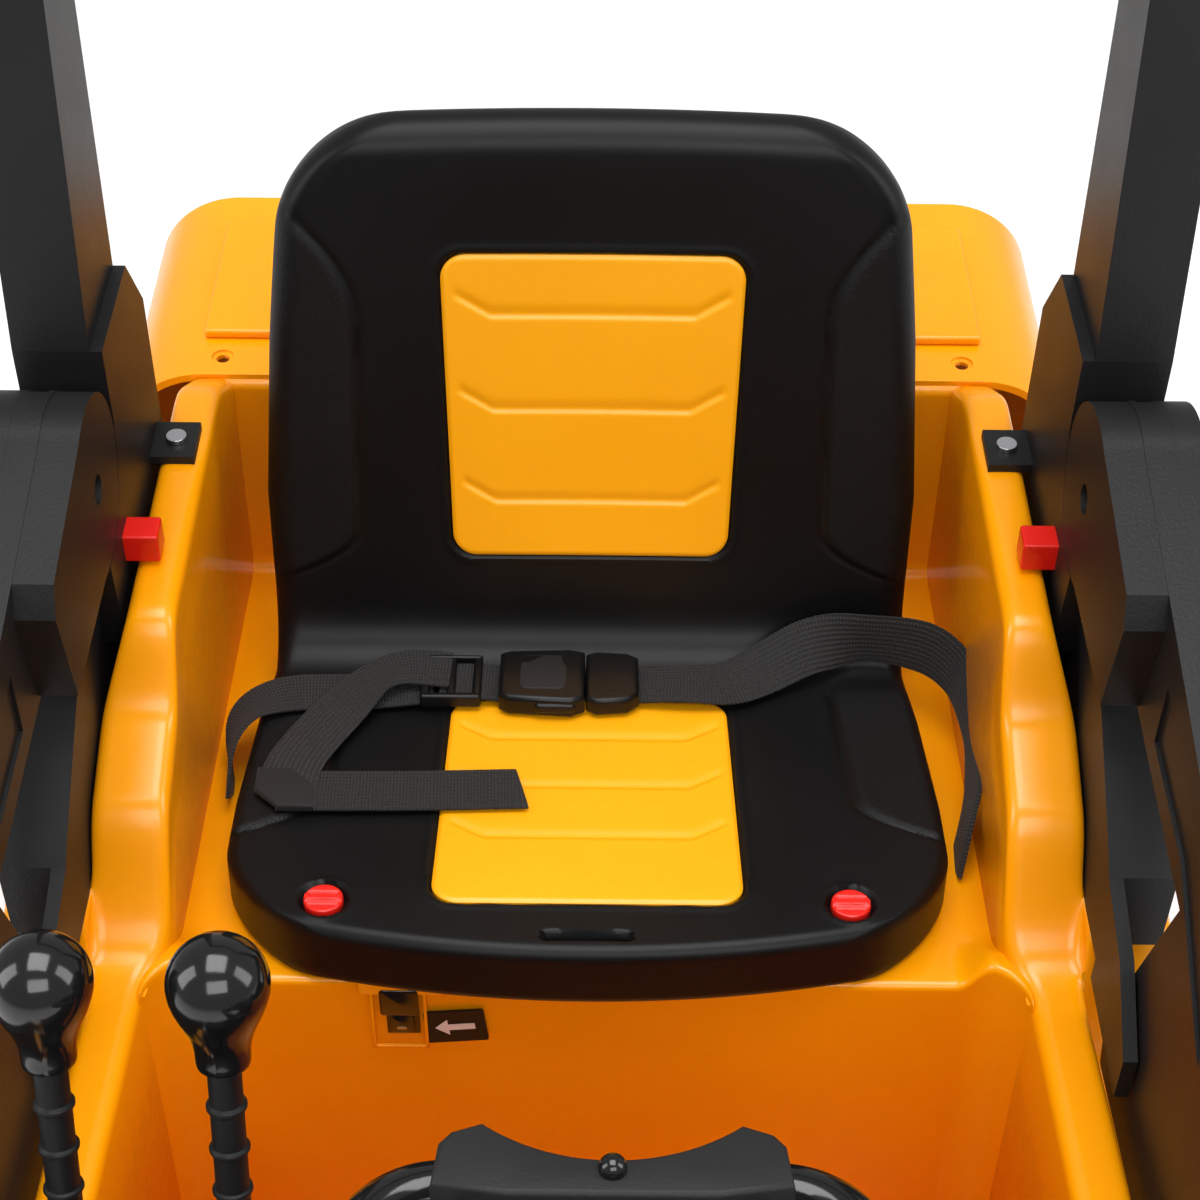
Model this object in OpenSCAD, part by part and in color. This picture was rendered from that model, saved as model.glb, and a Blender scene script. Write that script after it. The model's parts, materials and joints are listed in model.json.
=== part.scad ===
// Ride-on digger: front is -Y, left of the driver is +X, the ground is Z = 0.

/* [Seat] */
// Width of the seat cushion; the whole body takes its width from it
seat_w = 299; // [250:1:360]
// Depth of the cushion, from the crease to its front edge
seat_d = 190; // [165:1:200]
// Thickness of the moulded seat
seat_t = 30; // [24:1:36]
// Height of the seat crease above the ground
seat_h = 310; // [280:1:375]
// Width of the backrest
back_w = 287; // [230:1:300]
// Height of the backrest, along its slope
back_h = 250; // [200:1:300]
// Lean of the backrest from upright
back_lean = 14; // [8:1:20]
// Rise of the cushion towards the front, in degrees
cushion_rise = 7; // [4:1:8]
// Width of the two inlaid panels
panel_w = 128; // [100:1:150]
// Diameter of the quarter-turn knobs
knob_d = 16; // [12:0.5:20]
// Distance of a quarter-turn knob from the side of the cushion
knob_in = 43.5; // [38:0.5:50]
// Distance of a quarter-turn knob from the front of the cushion
knob_back = 25; // [24:0.5:40]
// Height of the panel in the backrest
back_panel_h = 144; // [110:1:170]
// Length of the panel in the cushion
seat_panel_l = 130; // [90:1:134]

/* [Body] */
// Wall of the moulded body
wall = 4; // [3:0.5:5]
// Space between the seat and the side of its well, each side
seat_gap = 17.5; // [14:0.5:24]
// Height of the side ledges above the seat crease
ledge_h = 104; // [90:1:110]
// Height of the footwell floor above the ground
floor_h = 96; // [90:1:120]
// Thickness of the cage posts, across the vehicle
cage_t = 30; // [26:1:36]
// Height of the cage top above the seat crease
cage_h = 520; // [430:5:600]

/* [Running gear] */
// Distance between the axles
wheel_base = 618; // [560:2:740]
// Radius of the rear tyres
rear_r = 115; // [96:1:120]
// Radius of the front tyres
front_r = 105; // [90:1:110]
// Width of a tyre
tyre_w = 56; // [44:1:64]
// Diameter of both axles
axle_d = 12; // [10:0.5:14]
// Most that the front wheels steer, each way, in degrees
steer_max = 22; // [15:1:24]

/* [Loader] */
// Thickness of a loader arm
arm_t = 23; // [20:1:26]
// Radius of the boss at the rear of an arm
boss_r = 38; // [34:1:39]
// Diameter of the arm pivot pins
pin_d = 12; // [10:0.5:14]
// Width of the bucket
bucket_w = 520; // [460:5:620]
// Depth of the bucket, front to back
bucket_d = 150; // [125:5:180]
// Height of the bucket
bucket_h = 176; // [150:2:200]

/* [Controls] */
// Width of the steering wheel to the middle of its rim
steer_w = 148; // [132:1:164]
// Height of the steering wheel to the middle of its rim
steer_h = 134; // [124:1:146]
// Radius of the steering wheel's rim section
rim_r = 9; // [7:0.5:11]
// Lean of the steering column from upright
column_lean = 9; // [5:1:10]
// Offset of the steering column from the middle plane
column_x = 8; // [0:1:12]
// Diameter of a lever knob
lever_knob_d = 31; // [24:0.5:36]
// Diameter of a lever stem
lever_d = 12; // [10:0.5:14]

/* [Belt] */
// Width of the belt webbing
belt_w = 25; // [20:1:30]
// Thickness of the belt webbing
belt_t = 1.8; // [1.2:0.1:2.4]

/* [Hidden] */
$fn = 64;

eps = 0.1;              // overlap of pieces that are joined into one
gap = 0.5;              // space between pieces that part
fit = 0.05;             // radial running clearance
shell_t = 3;            // wall of the half shells

// Stations along the length, from the seat crease
rear_y = 120;           // rear axle, behind the crease
rear_end = 240;         // back of the rear cover
front_y = rear_y - wheel_base;
box_y = -seat_d + 4;    // front face of the seat box
dash_y = front_y + 50;  // back of the hood and front of the footwell
nose_y = front_y - 118; // front face of the hood
dump_y = front_y - 158; // bucket pins
bucket_back = dump_y - 26;
bucket_tip = bucket_back - bucket_d;
tooth_l = 24;           // length of a bucket tooth
// the crease stands where the whole length is centred on the origin
seat_y = (tooth_l - bucket_tip - rear_end) / 2;

// Stations across the width
well_x = seat_w / 2 + seat_gap;
ledge_x = well_x + 20;          // outside of the upper ledge
sill_x = well_x + 31;           // outside of the lower ledge and sill
foot_x = well_x + 9;            // inside of the footwell
cage_x = ledge_x + 3;           // inside of the cage plate
post_x = cage_x + 5;            // inside of the cage posts
cage_seam = post_x + 13;
cage_out = post_x + cage_t;
arm_x = cage_x + 15;            // inside of the loader arms
arm_seam = arm_x + arm_t / 2;
arm_out = arm_x + arm_t;
body_x = cage_out + 8;          // outside of the skirts
king_x = arm_x;                 // kingpins
tyre_x = body_x + 3;            // inside of the tyres

// Heights
rear_z = rear_r;
front_z = front_r;
shoulder_z = seat_h + 26;
board_z = seat_h - 36;          // running board in front of the shoulder
ledge_z = seat_h + ledge_h;
rear_top = seat_h + 87;
rail_z = floor_h - wall;        // top of the frame rails
rail_h = 24;
rise = tan(cushion_rise);
deck_z = seat_h - seat_t / cos(cushion_rise) - gap;   // seat deck, at the crease
box_top = deck_z - (box_y + wall) * rise;             // front edge of the deck

// Joint places, from the crease for y and from the ground for z
pivot_y = -82;
pivot_z = seat_h + 164;
tongue_r = 14;
dump_z = 110;
tie_y = front_y - 36;
tie_z = front_z + 3;
column_y = -448;
column_z = seat_h + 160;
rim_bend = 25;             // radius of the corners of the steering wheel
column_l = (column_z - front_z - 45) / cos(column_lean);
foot_y = column_y - column_l * sin(column_lean);   // lower end of the column
crank_r = foot_y - tie_y;
lever_y = -400;
lever_z = seat_h + 12;
lever_l = 161;
lever_lean = 17.3;
pedal_y = dash_y + 100;
flap_x = -75;
flap_z = seat_h - 19;

module place() translate([0, seat_y, 0]) children();

// Extrudes a side view, drawn as (y, z), from x0 to x1
module slab(x0, x1) translate([x0, 0, 0]) rotate([90, 0, 90]) linear_extrude(x1 - x0) children();

// A bar along X
module rod(x0, x1, y, z, r) translate([x0, y, z]) rotate([0, 90, 0]) cylinder(h = x1 - x0, r = r);

// A block between two corners
module block(a, b) translate(a) cube(b - a);

module both() {
    children();
    mirror([1, 0, 0]) children();
}

// Rectangle with round corners, centred in x and standing on y = 0
module round_rect(w, h, r) {
    translate([-w / 2 + r, 0]) square([w - 2 * r, h]);
    translate([-w / 2, r]) square([w, h - 2 * r]);
    for (x = [-1, 1], y = [r, h - r])
        translate([x * (w / 2 - r), y]) circle(r);
}

// A strip of even height under the line through the points
module band(points, t) polygon(concat(points, [for (i = [len(points) - 1:-1:0]) points[i] - [0, t]]));

// ---- body shell ----

ledge_line = [[88, rear_top - 2], [60, ledge_z], [-90, ledge_z], [-107, ledge_z - 34]];
slope_line = [[-107 + eps, ledge_z - 34], [-150, ledge_z - 50], [-174, seat_h + 14], [box_y, seat_h + 6]];
sill_line = [[box_y + eps, seat_h + 6], [box_y - 20, seat_h + 5], [dash_y, seat_h + 40]];
side_line = concat(slope_line, [for (i = [1, 2]) sill_line[i]]);
well_line = concat(ledge_line, [for (i = [1:3]) slope_line[i]]);

// The same points, a little lower
function sunk(points) = [for (p = points) p - [0, eps]];

screw_y = 18;
screw_x = ledge_x - 7;

module tub() color("gold") place() {
    // ledges, slopes and sills
    both() {
        difference() {
            slab(well_x, ledge_x) band(ledge_line, wall);
            translate([screw_x, screw_y, ledge_z - wall - 1]) cylinder(h = wall + 2, r = 2.2);
        }
        slab(well_x, sill_x) band(slope_line, wall);
        slab(foot_x, sill_x) band(sill_line, wall);
        slab(ledge_x - wall, ledge_x) polygon(concat(sunk(ledge_line),
            [[-107, shoulder_z - wall], [88, shoulder_z - wall]]));
        slab(sill_x - wall, sill_x) polygon(concat(sunk(side_line),
            [[dash_y, board_z - wall], [-107, board_z - wall]]));
        // shoulders beside the well and running boards in front of them
        block([ledge_x - wall, -107, shoulder_z - wall], [body_x, 88, shoulder_z]);
        block([sill_x - wall, -190, shoulder_z - wall], [body_x, -107 + eps, shoulder_z]);
        block([sill_x - wall, -194, board_z - wall], [body_x, -190, shoulder_z]);
        block([sill_x - wall, -290, board_z - wall], [body_x, -190, board_z]);
        // skirts
        block([body_x - wall, -190, 120], [body_x, 88, shoulder_z - eps]);
        block([body_x - wall, -290, 120], [body_x, -190 + eps, board_z - eps]);
        // inner wall of the well and of the footwell
        slab(well_x, well_x + wall) polygon(concat(sunk(well_line),
            [[box_y, deck_z - 60], [88, deck_z - 60]]));
        slab(foot_x, foot_x + wall) polygon([[box_y + wall, seat_h + 6], [box_y - 20, seat_h + 5 - eps],
            [dash_y, seat_h + 40 - eps], [dash_y, floor_h - wall], [box_y + wall, floor_h - wall]]);
        // mudguard over the rear wheel
        intersection() {
            difference() {
                rod(body_x - eps, body_x + 30, rear_y, rear_z, rear_r + 12);
                rod(body_x - 1, body_x + 31, rear_y, rear_z, rear_r + 8);
            }
            block([body_x - 1, rear_y - rear_r - 20, rear_z + 40],
                [body_x + 31, rear_end, rear_z + rear_r + 20]);
        }
    }
    // seat deck with the holes of the quarter-turn knobs
    difference() {
        slab(-well_x - eps, well_x + eps) polygon([[88, deck_z - wall], [88, deck_z], [0, deck_z],
            [box_y + wall, box_top], [box_y + wall, box_top - wall], [0, deck_z - wall]]);
        both() seat_axis() translate([0, 0, -60]) cylinder(h = 120, r = 7);
    }
    // front of the seat box, with the hole of the charge socket
    difference() {
        block([-foot_x - wall, box_y, floor_h - wall], [foot_x + wall, box_y + wall, box_top]);
        block([flap_x - 7, box_y - 1, flap_z - 22], [flap_x + 7, box_y + wall + 1, flap_z - 8]);
    }
    both() block([well_x - eps, box_y, box_top - eps], [foot_x + wall, box_y + wall, seat_h + 6]);
    // footwell floor and the wall behind the hood
    block([-foot_x - wall, dash_y, floor_h - wall], [foot_x + wall, box_y + wall, floor_h]);
    block([-foot_x - wall, dash_y, floor_h - eps], [foot_x + wall, dash_y + wall, seat_h + 30]);
    // rear wall of the well
    block([-ledge_x, 88 - eps, deck_z - wall], [ledge_x, 92, rear_top - 2]);
    both() block([ledge_x - eps, 88 - eps, 120], [body_x, 92, shoulder_z]);
}

// Upright arch with round shoulders, running back from y
module arch(y, w, top, r, l) translate([0, y, 0]) rotate([-90, 0, 0]) linear_extrude(l)
    translate([0, -top]) round_rect(w, top - 150, r);

module rear_cover() color("gold") place() difference() {
    arch(92, 2 * cage_out, rear_top, 45, rear_end - 92);
    arch(91, 2 * (cage_out - wall), rear_top - wall, 45 - wall, rear_end - 91 - wall);
    block([wall - cage_out, 91, 149], [cage_out - wall, rear_end - wall, 200]);
    both() {
        translate([well_x + 6, 106, rear_top - 10]) cylinder(h = 20, r = 3);
        translate([well_x + 6, 106, rear_top - 1.5]) cylinder(h = 2, r = 5);
    }
}

module rear_centre_cover() color("gold") place()
    block([-ledge_x + 4, 119, rear_top], [ledge_x - 4, 212, rear_top + 5]);

module hood_side(t) polygon([[dash_y - t, seat_h + 100 - t], [front_y - 40, seat_h + 64 - t],
    [nose_y + t + 16, seat_h + 30 - t], [nose_y + t, seat_h + 12 - t], [nose_y + t, 130], [dash_y - t, 130]]);

module hood() color("gold") place() difference() {
    slab(-150, 150) hood_side(0);
    slab(-150 + wall, 150 - wall) translate([0, -1]) hood_side(wall);
    slab(-150 + wall, 150 - wall) translate([dash_y - 10, 129]) square([11, seat_h - 37]);
    block([-151, nose_y - 1, 128], [151, dash_y + 1, 131]);
    column() cylinder(h = 2 * column_l + 100, r = 14, center = true);
    block([-80, nose_y - 1, 190], [80, nose_y + wall + 1, 262]);
    both() translate([112, nose_y + wall + 1, 272]) rotate([90, 0, 0]) cylinder(h = wall + 2, r = 26);
}

module grille() color("dimgray") place() {
    block([-84, nose_y - 3, 186], [84, nose_y, 190.5]);
    block([-84, nose_y - 3, 261.5], [84, nose_y, 266]);
    for (i = [-5:5])
        block([i * 15.8 - 4.5, nose_y - 3, 190], [i * 15.8 + 4.5, nose_y, 262]);
}

module headlamps() color("white") place() both() {
    translate([112, nose_y + wall, 272]) rotate([90, 0, 0]) cylinder(h = wall + 3, r = 25.5);
    translate([112, nose_y - 3, 272]) rotate([90, 0, 0]) cylinder(h = 3, r1 = 28, r2 = 24);
}

// Black panel that carries the column and the lever console
module dash() color("dimgray") place() difference() {
    union() {
        slab(-150, 150) polygon([[dash_y + wall + gap, seat_h + 30 + gap], [dash_y, seat_h + 30 + gap],
            [dash_y, seat_h + 101], [dash_y - 40, seat_h + 104], [dash_y - 34, seat_h + 112],
            [dash_y + 10, seat_h + 106], [dash_y + 26, seat_h + 30 + gap]]);
        block([-foot_x + gap, dash_y + wall + gap, seat_h - 30], [-84, dash_y + 56, seat_h + 38]);
    }
    column() cylinder(h = 2 * column_l + 100, r = 13, center = true);
    for (x = lever_xs)
        translate([x, 0, 0]) block([-lever_d / 2 - 1.5, lever_y - 38, seat_h - 26],
            [lever_d / 2 + 1.5, lever_y + 34, seat_h + 60]);
    block([90 - 0.5, dash_y - 1, seat_h + 60], [112.5, dash_y + 60, seat_h + 84]);
}

// ---- frame and running gear ----

module chassis_frame() color("slategray") place() difference() {
    union() {
        both() {
            block([78, nose_y + 10, rail_z - rail_h], [102, rear_y + 70, rail_z]);
            // rear axle plates
            block([102, rear_y - 22, rail_z - rail_h], [108, rear_y + 22, rear_z + 20]);
            // front yoke
            block([king_x - 21, front_y - 14, rail_z - rail_h], [king_x - 15, front_y + 14, front_z + 31]);
            block([king_x - 21, front_y - 14, front_z + 23], [king_x + 12, front_y + 14, front_z + 31]);
            block([king_x - 21, front_y - 14, front_z - 31], [king_x + 12, front_y + 14, front_z - 23]);
            // seat and body posts
            block([78, -130, rail_z - eps], [102, -116, deck_z - wall - 1]);
        }
        for (y = [nose_y + 10, -150, rear_y + 46])
            block([-78 - eps, y, rail_z - rail_h], [78 + eps, y + 24, rail_z]);
        block([-king_x + 20, front_y - 12, rail_z - rail_h], [king_x - 20, front_y + 12, rail_z]);
        // battery tray
        block([-102, -116, 122], [102, 10, 126]);
        both() block([78, -20, rail_z - eps], [84, 0, 122 + eps]);
    }
    both() {
        rod(90, 120, rear_y, rear_z, axle_d / 2 + fit);
        translate([king_x, front_y, 0]) cylinder(h = 400, r = 5 + fit);
    }
}

module battery() color("dimgray") place() {
    block([-70, -112, 126], [50, -12, 216]);
    block([-60, -100, 216], [-48, -88, 221]);
    block([28, -100, 216], [40, -88, 221]);
}

module control_box() color("black") place() {
    block([56, -112, 126], [98, -22, 176]);
    block([70, -100, 176], [90, -40, 180]);
}

// Gearboxes on the rear axle, with their motors
module gear_motors() color("gray") place() both() {
    difference() {
        union() {
            block([body_x - 46, rear_y - 27, rear_z - 34], [body_x - 8, rear_y + 34, rear_z + 34]);
            rod(body_x - 118, body_x - 46 + eps, rear_y - 8, rear_z + 30, 18);
        }
        rod(0, 400, rear_y, rear_z, axle_d / 2 + 1);
    }
    // clamps on the axle plates
    difference() {
        block([108, rear_y - 18, rear_z - 26], [body_x - 46 + eps, rear_y + 12, rear_z - 14]);
        rod(0, 400, rear_y, rear_z, axle_d / 2 + 1);
    }
}

module rear_axle() color("silver") place() {
    rod(-tyre_x - tyre_w - 3, tyre_x + tyre_w + 3, rear_y, rear_z, axle_d / 2);
}

rim_share = 0.62;        // radius of a rim, for a tyre of radius 1
hub_r = 18;

module tyre(r) difference() {
    rotate_extrude() polygon([[rim_share * r, 3], [rim_share * r + 4, 0], [r - 9, 0], [r, 8],
        [r, tyre_w - 8], [r - 9, tyre_w], [rim_share * r + 4, tyre_w], [rim_share * r, tyre_w - 3]]);
    // tread grooves across the width
    for (a = [0:30:330], s = [-1, 1])
        rotate([0, 0, a + s * 4 + (s > 0 ? 15 : 0)]) translate([r - 5, -6, s > 0 ? tyre_w / 2 + 1.5 : -1])
            cube([10, 12, tyre_w / 2 - 0.5]);
}

module rim(r) difference() {
    rotate_extrude() polygon(concat([[axle_d / 2 + fit, 0], [hub_r, 0], [hub_r, tyre_w * 0.5]],
        [[rim_share * r - 5, tyre_w * 0.62], [rim_share * r - 5, 2], [rim_share * r, 2]],
        [[rim_share * r, tyre_w - 2], [rim_share * r - 5, tyre_w - 2], [rim_share * r - 5, tyre_w * 0.72]],
        [[hub_r, tyre_w * 0.6], [hub_r, tyre_w - 4], [axle_d / 2 + fit, tyre_w - 4]]));
    for (a = [0:72:288])
        rotate([0, 0, a]) translate([r * 0.4, 0, -1]) cylinder(h = tyre_w + 2, r = r * 0.1);
}

// side is 1 on the left and -1 on the right; the wheel's open face is outside
module at_wheel(side, y, z) place() translate([side * tyre_x, y, z]) rotate([0, side * 90, 0]) children();

module rear_tyre(side) color("black") at_wheel(side, rear_y, rear_z) tyre(rear_r);
module rear_rim(side) color("gold") at_wheel(side, rear_y, rear_z) rim(rear_r);
module front_tyre(side) color("black") at_wheel(side, front_y, front_z) tyre(front_r);
module front_rim(side) color("gold") at_wheel(side, front_y, front_z) rim(front_r);

module knuckle() color("silver") place() {
    translate([king_x, front_y, front_z - 22.5]) cylinder(h = 45, r = 11);
    translate([king_x, front_y, front_z - 34]) cylinder(h = 69, r = 5);
    rod(king_x, tyre_x + tyre_w + 3, front_y, front_z, axle_d / 2);
    block([king_x - 5, tie_y - 7, front_z - 10], [king_x + 5, front_y, front_z - 3]);
    translate([king_x, tie_y, front_z - 4]) cylinder(h = 16, r = 4);
}

module tie_rod() color("silver") place() difference() {
    union() {
        block([-king_x, tie_y - 6, tie_z - 4], [king_x, tie_y + 6, tie_z + 4]);
        both() translate([king_x, tie_y, tie_z - 4]) cylinder(h = 8, r = 10.5);
        translate([column_x, tie_y, tie_z - 4]) cylinder(h = 8, r = 16);
    }
    both() translate([king_x, tie_y, tie_z - 6]) cylinder(h = 12, r = 7.2);
    translate([column_x, tie_y, tie_z - 6]) cylinder(h = 12, r = 11);
}

// ---- steering ----

// Frame of the steering wheel: +Z along the column, upwards, and +Y towards the driver
module column() translate([column_x, column_y, column_z]) rotate([-column_lean, 0, 0]) children();

module steering_shaft() color("silver") place() {
    column() translate([0, 0, -column_l]) cylinder(h = column_l - 6, r = 6);
    translate([column_x - 5, tie_y - 5, tie_z + 38]) cube([10, crank_r + 10, 8]);
    translate([column_x, tie_y, tie_z - 2]) cylinder(h = 42, r = 4.5);
}

module steering_wheel() color("black") place() column() {
    for (m = [0, 1]) mirror([0, m, 0]) {
        rod(rim_bend - steer_w / 2, steer_w / 2 - rim_bend, steer_h / 2, 0, rim_r);
        both() translate([steer_w / 2 - rim_bend, steer_h / 2 - rim_bend]) intersection() {
            rotate_extrude() translate([rim_bend, 0]) circle(rim_r);
            translate([0, 0, -rim_r - 1]) cube(rim_bend + rim_r + 1);
        }
    }
    both() translate([steer_w / 2, steer_h / 2 - rim_bend]) rotate([90, 0, 0])
        cylinder(h = steer_h - 2 * rim_bend, r = rim_r);
    difference() {
        union() {
            translate([0, 0, -14]) cylinder(h = 20, r = 26);
            translate([-10, 0, -5]) cube([20, steer_h / 2, 10]);
            both() rotate([0, 0, -30]) translate([0, -10, -5]) cube([steer_w / 2 + 9, 20, 10]);
        }
        translate([0, 0, -20]) cylinder(h = 14, r = 6);
    }
}

module steering_pad() color("dimgray") place() column() {
    difference() {
        union() {
            translate([0, 0, 6]) cylinder(h = 9, r = 34);
            translate([-46, 14, 10]) cube([92, 36, 6]);
            translate([0, 0, 10]) linear_extrude(12)
                polygon([[-52, 50], [-30, 47], [30, 47], [52, 50], [50, 68], [38, 74], [-38, 74], [-50, 68]]);
        }
        translate([0, 120.5, 0]) cylinder(h = 40, r = 60);
        translate([0, 0, 9]) cylinder(h = 20, r = 19.4);
    }
    translate([0, 56, 12]) cylinder(h = 15, r = 4.2);
}

module horn_button() color("black") place() column() translate([0, 0, 12]) cylinder(h = 8, r = 19);

lever_xs = [-108, -160];

// Frame of a lever: +Z runs up the stem from its pivot
module lever(x) place() translate([x, lever_y, lever_z]) rotate([-lever_lean, 0, 0]) children();

module lever_stem(x) color("dimgray") lever(x) {
    cylinder(h = lever_l, r = lever_d / 2);
    rotate([0, 90, 0]) cylinder(h = lever_d + 2, r = 9, center = true);
    for (i = [0:5])
        translate([0, 0, lever_l - 14 - i * 16]) cylinder(h = 2.5, r = lever_d / 2 + 1);
}

module lever_knob(x) color("black") lever(x) translate([0, 0, lever_l]) rotate_extrude() difference() {
    union() {
        translate([0, 32]) circle(lever_knob_d / 2);
        polygon([[0, 0], [9, 0], [9.5, 8], [lever_knob_d / 2 - 2.5, 24], [0, 30]]);
    }
    translate([-40, -1]) square([40, 80]);
}

module pedal() color("dimgray") place() translate([-90, pedal_y, floor_h + 9]) {
    rotate([-30, 0, 0]) translate([-26, -82, -4]) cube([52, 82, 8]);
    rotate([0, 90, 0]) cylinder(h = 52, r = 7, center = true);
}

module gear_switch() color("red") place() translate([101, dash_y + 20, seat_h + 72]) {
    block([-10, -12, -9], [10, 4, 9]);
    block([-3, 4 - eps, -3], [3, 12, 8]);
}

// ---- seat ----

// Frame of a seat knob, normal to the cushion; 0 is the bottom of the cushion
knob_y = knob_back - seat_d;
module seat_axis() translate([seat_w / 2 - knob_in, knob_y, seat_h - seat_t - knob_y * rise])
    rotate([-cushion_rise, 0, 0]) children();

module cushion_frame() translate([0, 0, seat_h]) rotate([-cushion_rise, 0, 0]) mirror([0, 1, 0]) children();
module back_frame() translate([0, 0, seat_h]) rotate([-back_lean, 0, 0]) rotate([90, 0, 0]) children();

panel_t = 2.5;           // thickness of the inlaid panels

// Plans of the two panels, larger by edge all round
module seat_panel(edge) translate([0, 36 - edge])
    round_rect(panel_w + 2 * edge, seat_panel_l + 2 * edge, 10 + edge);
module back_panel(edge) translate([0, 48 - edge])
    round_rect(panel_w + 2 * edge, back_panel_h + 2 * edge, 10 + edge);

module seat_shell() color("black") place() difference() {
    union() {
        cushion_frame() translate([0, 0, -seat_t]) linear_extrude(seat_t) intersection() {
            translate([0, -seat_t]) round_rect(seat_w, seat_d / cos(cushion_rise) + seat_t, 48);
            translate([0, seat_d - 420]) circle(420);
        }
        back_frame() translate([0, 0, -seat_t]) linear_extrude(seat_t)
            translate([0, -seat_t + 12]) round_rect(back_w, back_h + seat_t - 12, 50);
    }
    cushion_frame() translate([0, 0, -panel_t - fit]) linear_extrude(20) seat_panel(0.2);
    back_frame() translate([0, 0, -panel_t - fit]) linear_extrude(20) back_panel(0.2);
    both() seat_axis() {
        translate([0, 0, -20]) cylinder(h = 80, r = 5);
        translate([0, 0, seat_t - 4]) cylinder(h = 30, r = knob_d / 2 + 1);
    }
    // slot in the front of the cushion
    cushion_frame() translate([-18, seat_d - 10, -seat_t - 1]) cube([36, 5, seat_t + 2]);
    // level underside behind the crease
    block([-200, -eps, seat_h - 90], [200, 120, seat_h - seat_t]);
}

module seat_panels() color("gold") place() {
    cushion_frame() translate([0, 0, -panel_t]) linear_extrude(panel_t) seat_panel(0);
    back_frame() translate([0, 0, -panel_t]) linear_extrude(panel_t) back_panel(0);
}

module seat_knob() color("red") place() seat_axis() {
    translate([0, 0, -9]) cylinder(h = seat_t + 6, r = 4.6);
    translate([0, 0, seat_t - 3.5]) cylinder(h = 4, r = knob_d / 2);
    translate([-knob_d / 2 + 1, -1.6, seat_t + 0.4]) cube([knob_d - 2, 3.2, 3]);
}

// ---- belt ----

belt_side = seat_w / 2 + 3;     // inside of the webbing beside the cushion
belt_lift = 2;                  // space under the webbing
belt_back = 8;                  // from the crease to the webbing

// Webbing across the cushion, between x0 and x1
module belt_run(x0, x1, depth = belt_back) cushion_frame()
    block([x0, depth, belt_lift], [x1, depth + belt_w, belt_lift + belt_t]);

// Webbing over the edge of the cushion and down beside it
module belt_drop() {
    belt_run(seat_w / 2 - 4, belt_side + belt_t);
    cushion_frame() translate([belt_side, belt_back, -24]) cube([belt_t, belt_w, 24 + belt_lift + belt_t]);
}

module belt_left() color("black") place() {
    belt_run(20, seat_w / 2);
    belt_drop();
}

module belt_right() color("black") place() {
    belt_run(-seat_w / 2, -62);
    mirror([1, 0, 0]) belt_drop();
    // loose tail over the cushion
    belt_run(-110, -30, 72);
}

module belt_adjuster() color("black") place() cushion_frame()
    block([-62, belt_back - 3, belt_lift - 1], [-38, belt_back + belt_w + 3, belt_lift + 5]);

module buckle_socket() color("black") place() cushion_frame()
    block([-38, belt_back - 1, belt_lift - 1], [-8, belt_back + belt_w + 1, belt_lift + 8]);

module buckle_tongue() color("black") place() cushion_frame()
    block([-8, belt_back + 1, belt_lift], [20, belt_back + belt_w - 1, belt_lift + 6]);

// ---- charge port ----

module charge_socket() color("black") place()
    block([flap_x - 6.8, box_y + 0.2, flap_z - 21.8], [flap_x + 6.8, box_y + 24, flap_z - 8.2]);

module charge_flap() color("black") place() translate([flap_x, box_y - 2, flap_z]) {
    rotate([0, 90, 0]) cylinder(h = 18, r = 1.5, center = true);
    block([-9, -1, -26], [9, 1, 0]);
}

// ---- cage ----

post = [[-42, seat_h + 200], [pivot_y + 88, seat_h + cage_h], [36, seat_h + cage_h], [16, seat_h + 200]];
plate = [[-42, shoulder_z], [-42, seat_h + 200 + eps], [16, seat_h + 200 + eps], [38, seat_h + 168],
    [38, shoulder_z]];
side_frame = [[-42 + eps, shoulder_z], [-42 + eps, seat_h + 112], [-104, seat_h + 112], [-122, seat_h + 108],
    [-138, seat_h + 99], [-182, seat_h + 72], [-189, seat_h + 66], [-189, shoulder_z]];
side_toe = [[-189 + eps, shoulder_z], [-189 + eps, seat_h + 66], [-222, seat_h + 58], [-252, seat_h + 36],
    [-252, seat_h + 14], [-196, seat_h + 14], [-196, shoulder_z]];

module cage_outline() {
    polygon(post);
    polygon(plate);
    polygon(side_frame);
}

// Inside of a half shell, drawn in side view
module hollow(x0, x1) slab(x0, x1) offset(delta = -shell_t) children();

module cage_inner() color("black") place() difference() {
    union() {
        difference() {
            union() {
                slab(post_x, cage_seam) polygon(post);
                slab(cage_x, cage_seam) polygon(plate);
                slab(sill_x + 0.5, cage_seam) polygon(side_frame);
            }
            hollow(sill_x + 0.5 + shell_t, cage_seam + 1) cage_outline();
        }
        slab(sill_x + 0.5, arm_x - 1) polygon(side_toe);
        // leg under the boss of the arm
        slab(cage_x, arm_x - 1) polygon([[-42 + eps, seat_h + 80], [-42 + eps, pivot_z],
            [pivot_y - 6, pivot_z], [pivot_y + 2, seat_h + 80]]);
        // tab on the ledge
        block([ledge_x - 16, 6, ledge_z], [cage_x + eps, 30, ledge_z + 4]);
    }
    rod(cage_x - 1, cage_seam + 1, pivot_y, pivot_z, boss_r + 0.6);
    block([cage_x - 1, -60, seat_h + 106], [cage_x + 12, -46, seat_h + 120]);
    translate([screw_x, screw_y, ledge_z - 1]) cylinder(h = 8, r = 2.2);
}

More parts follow.
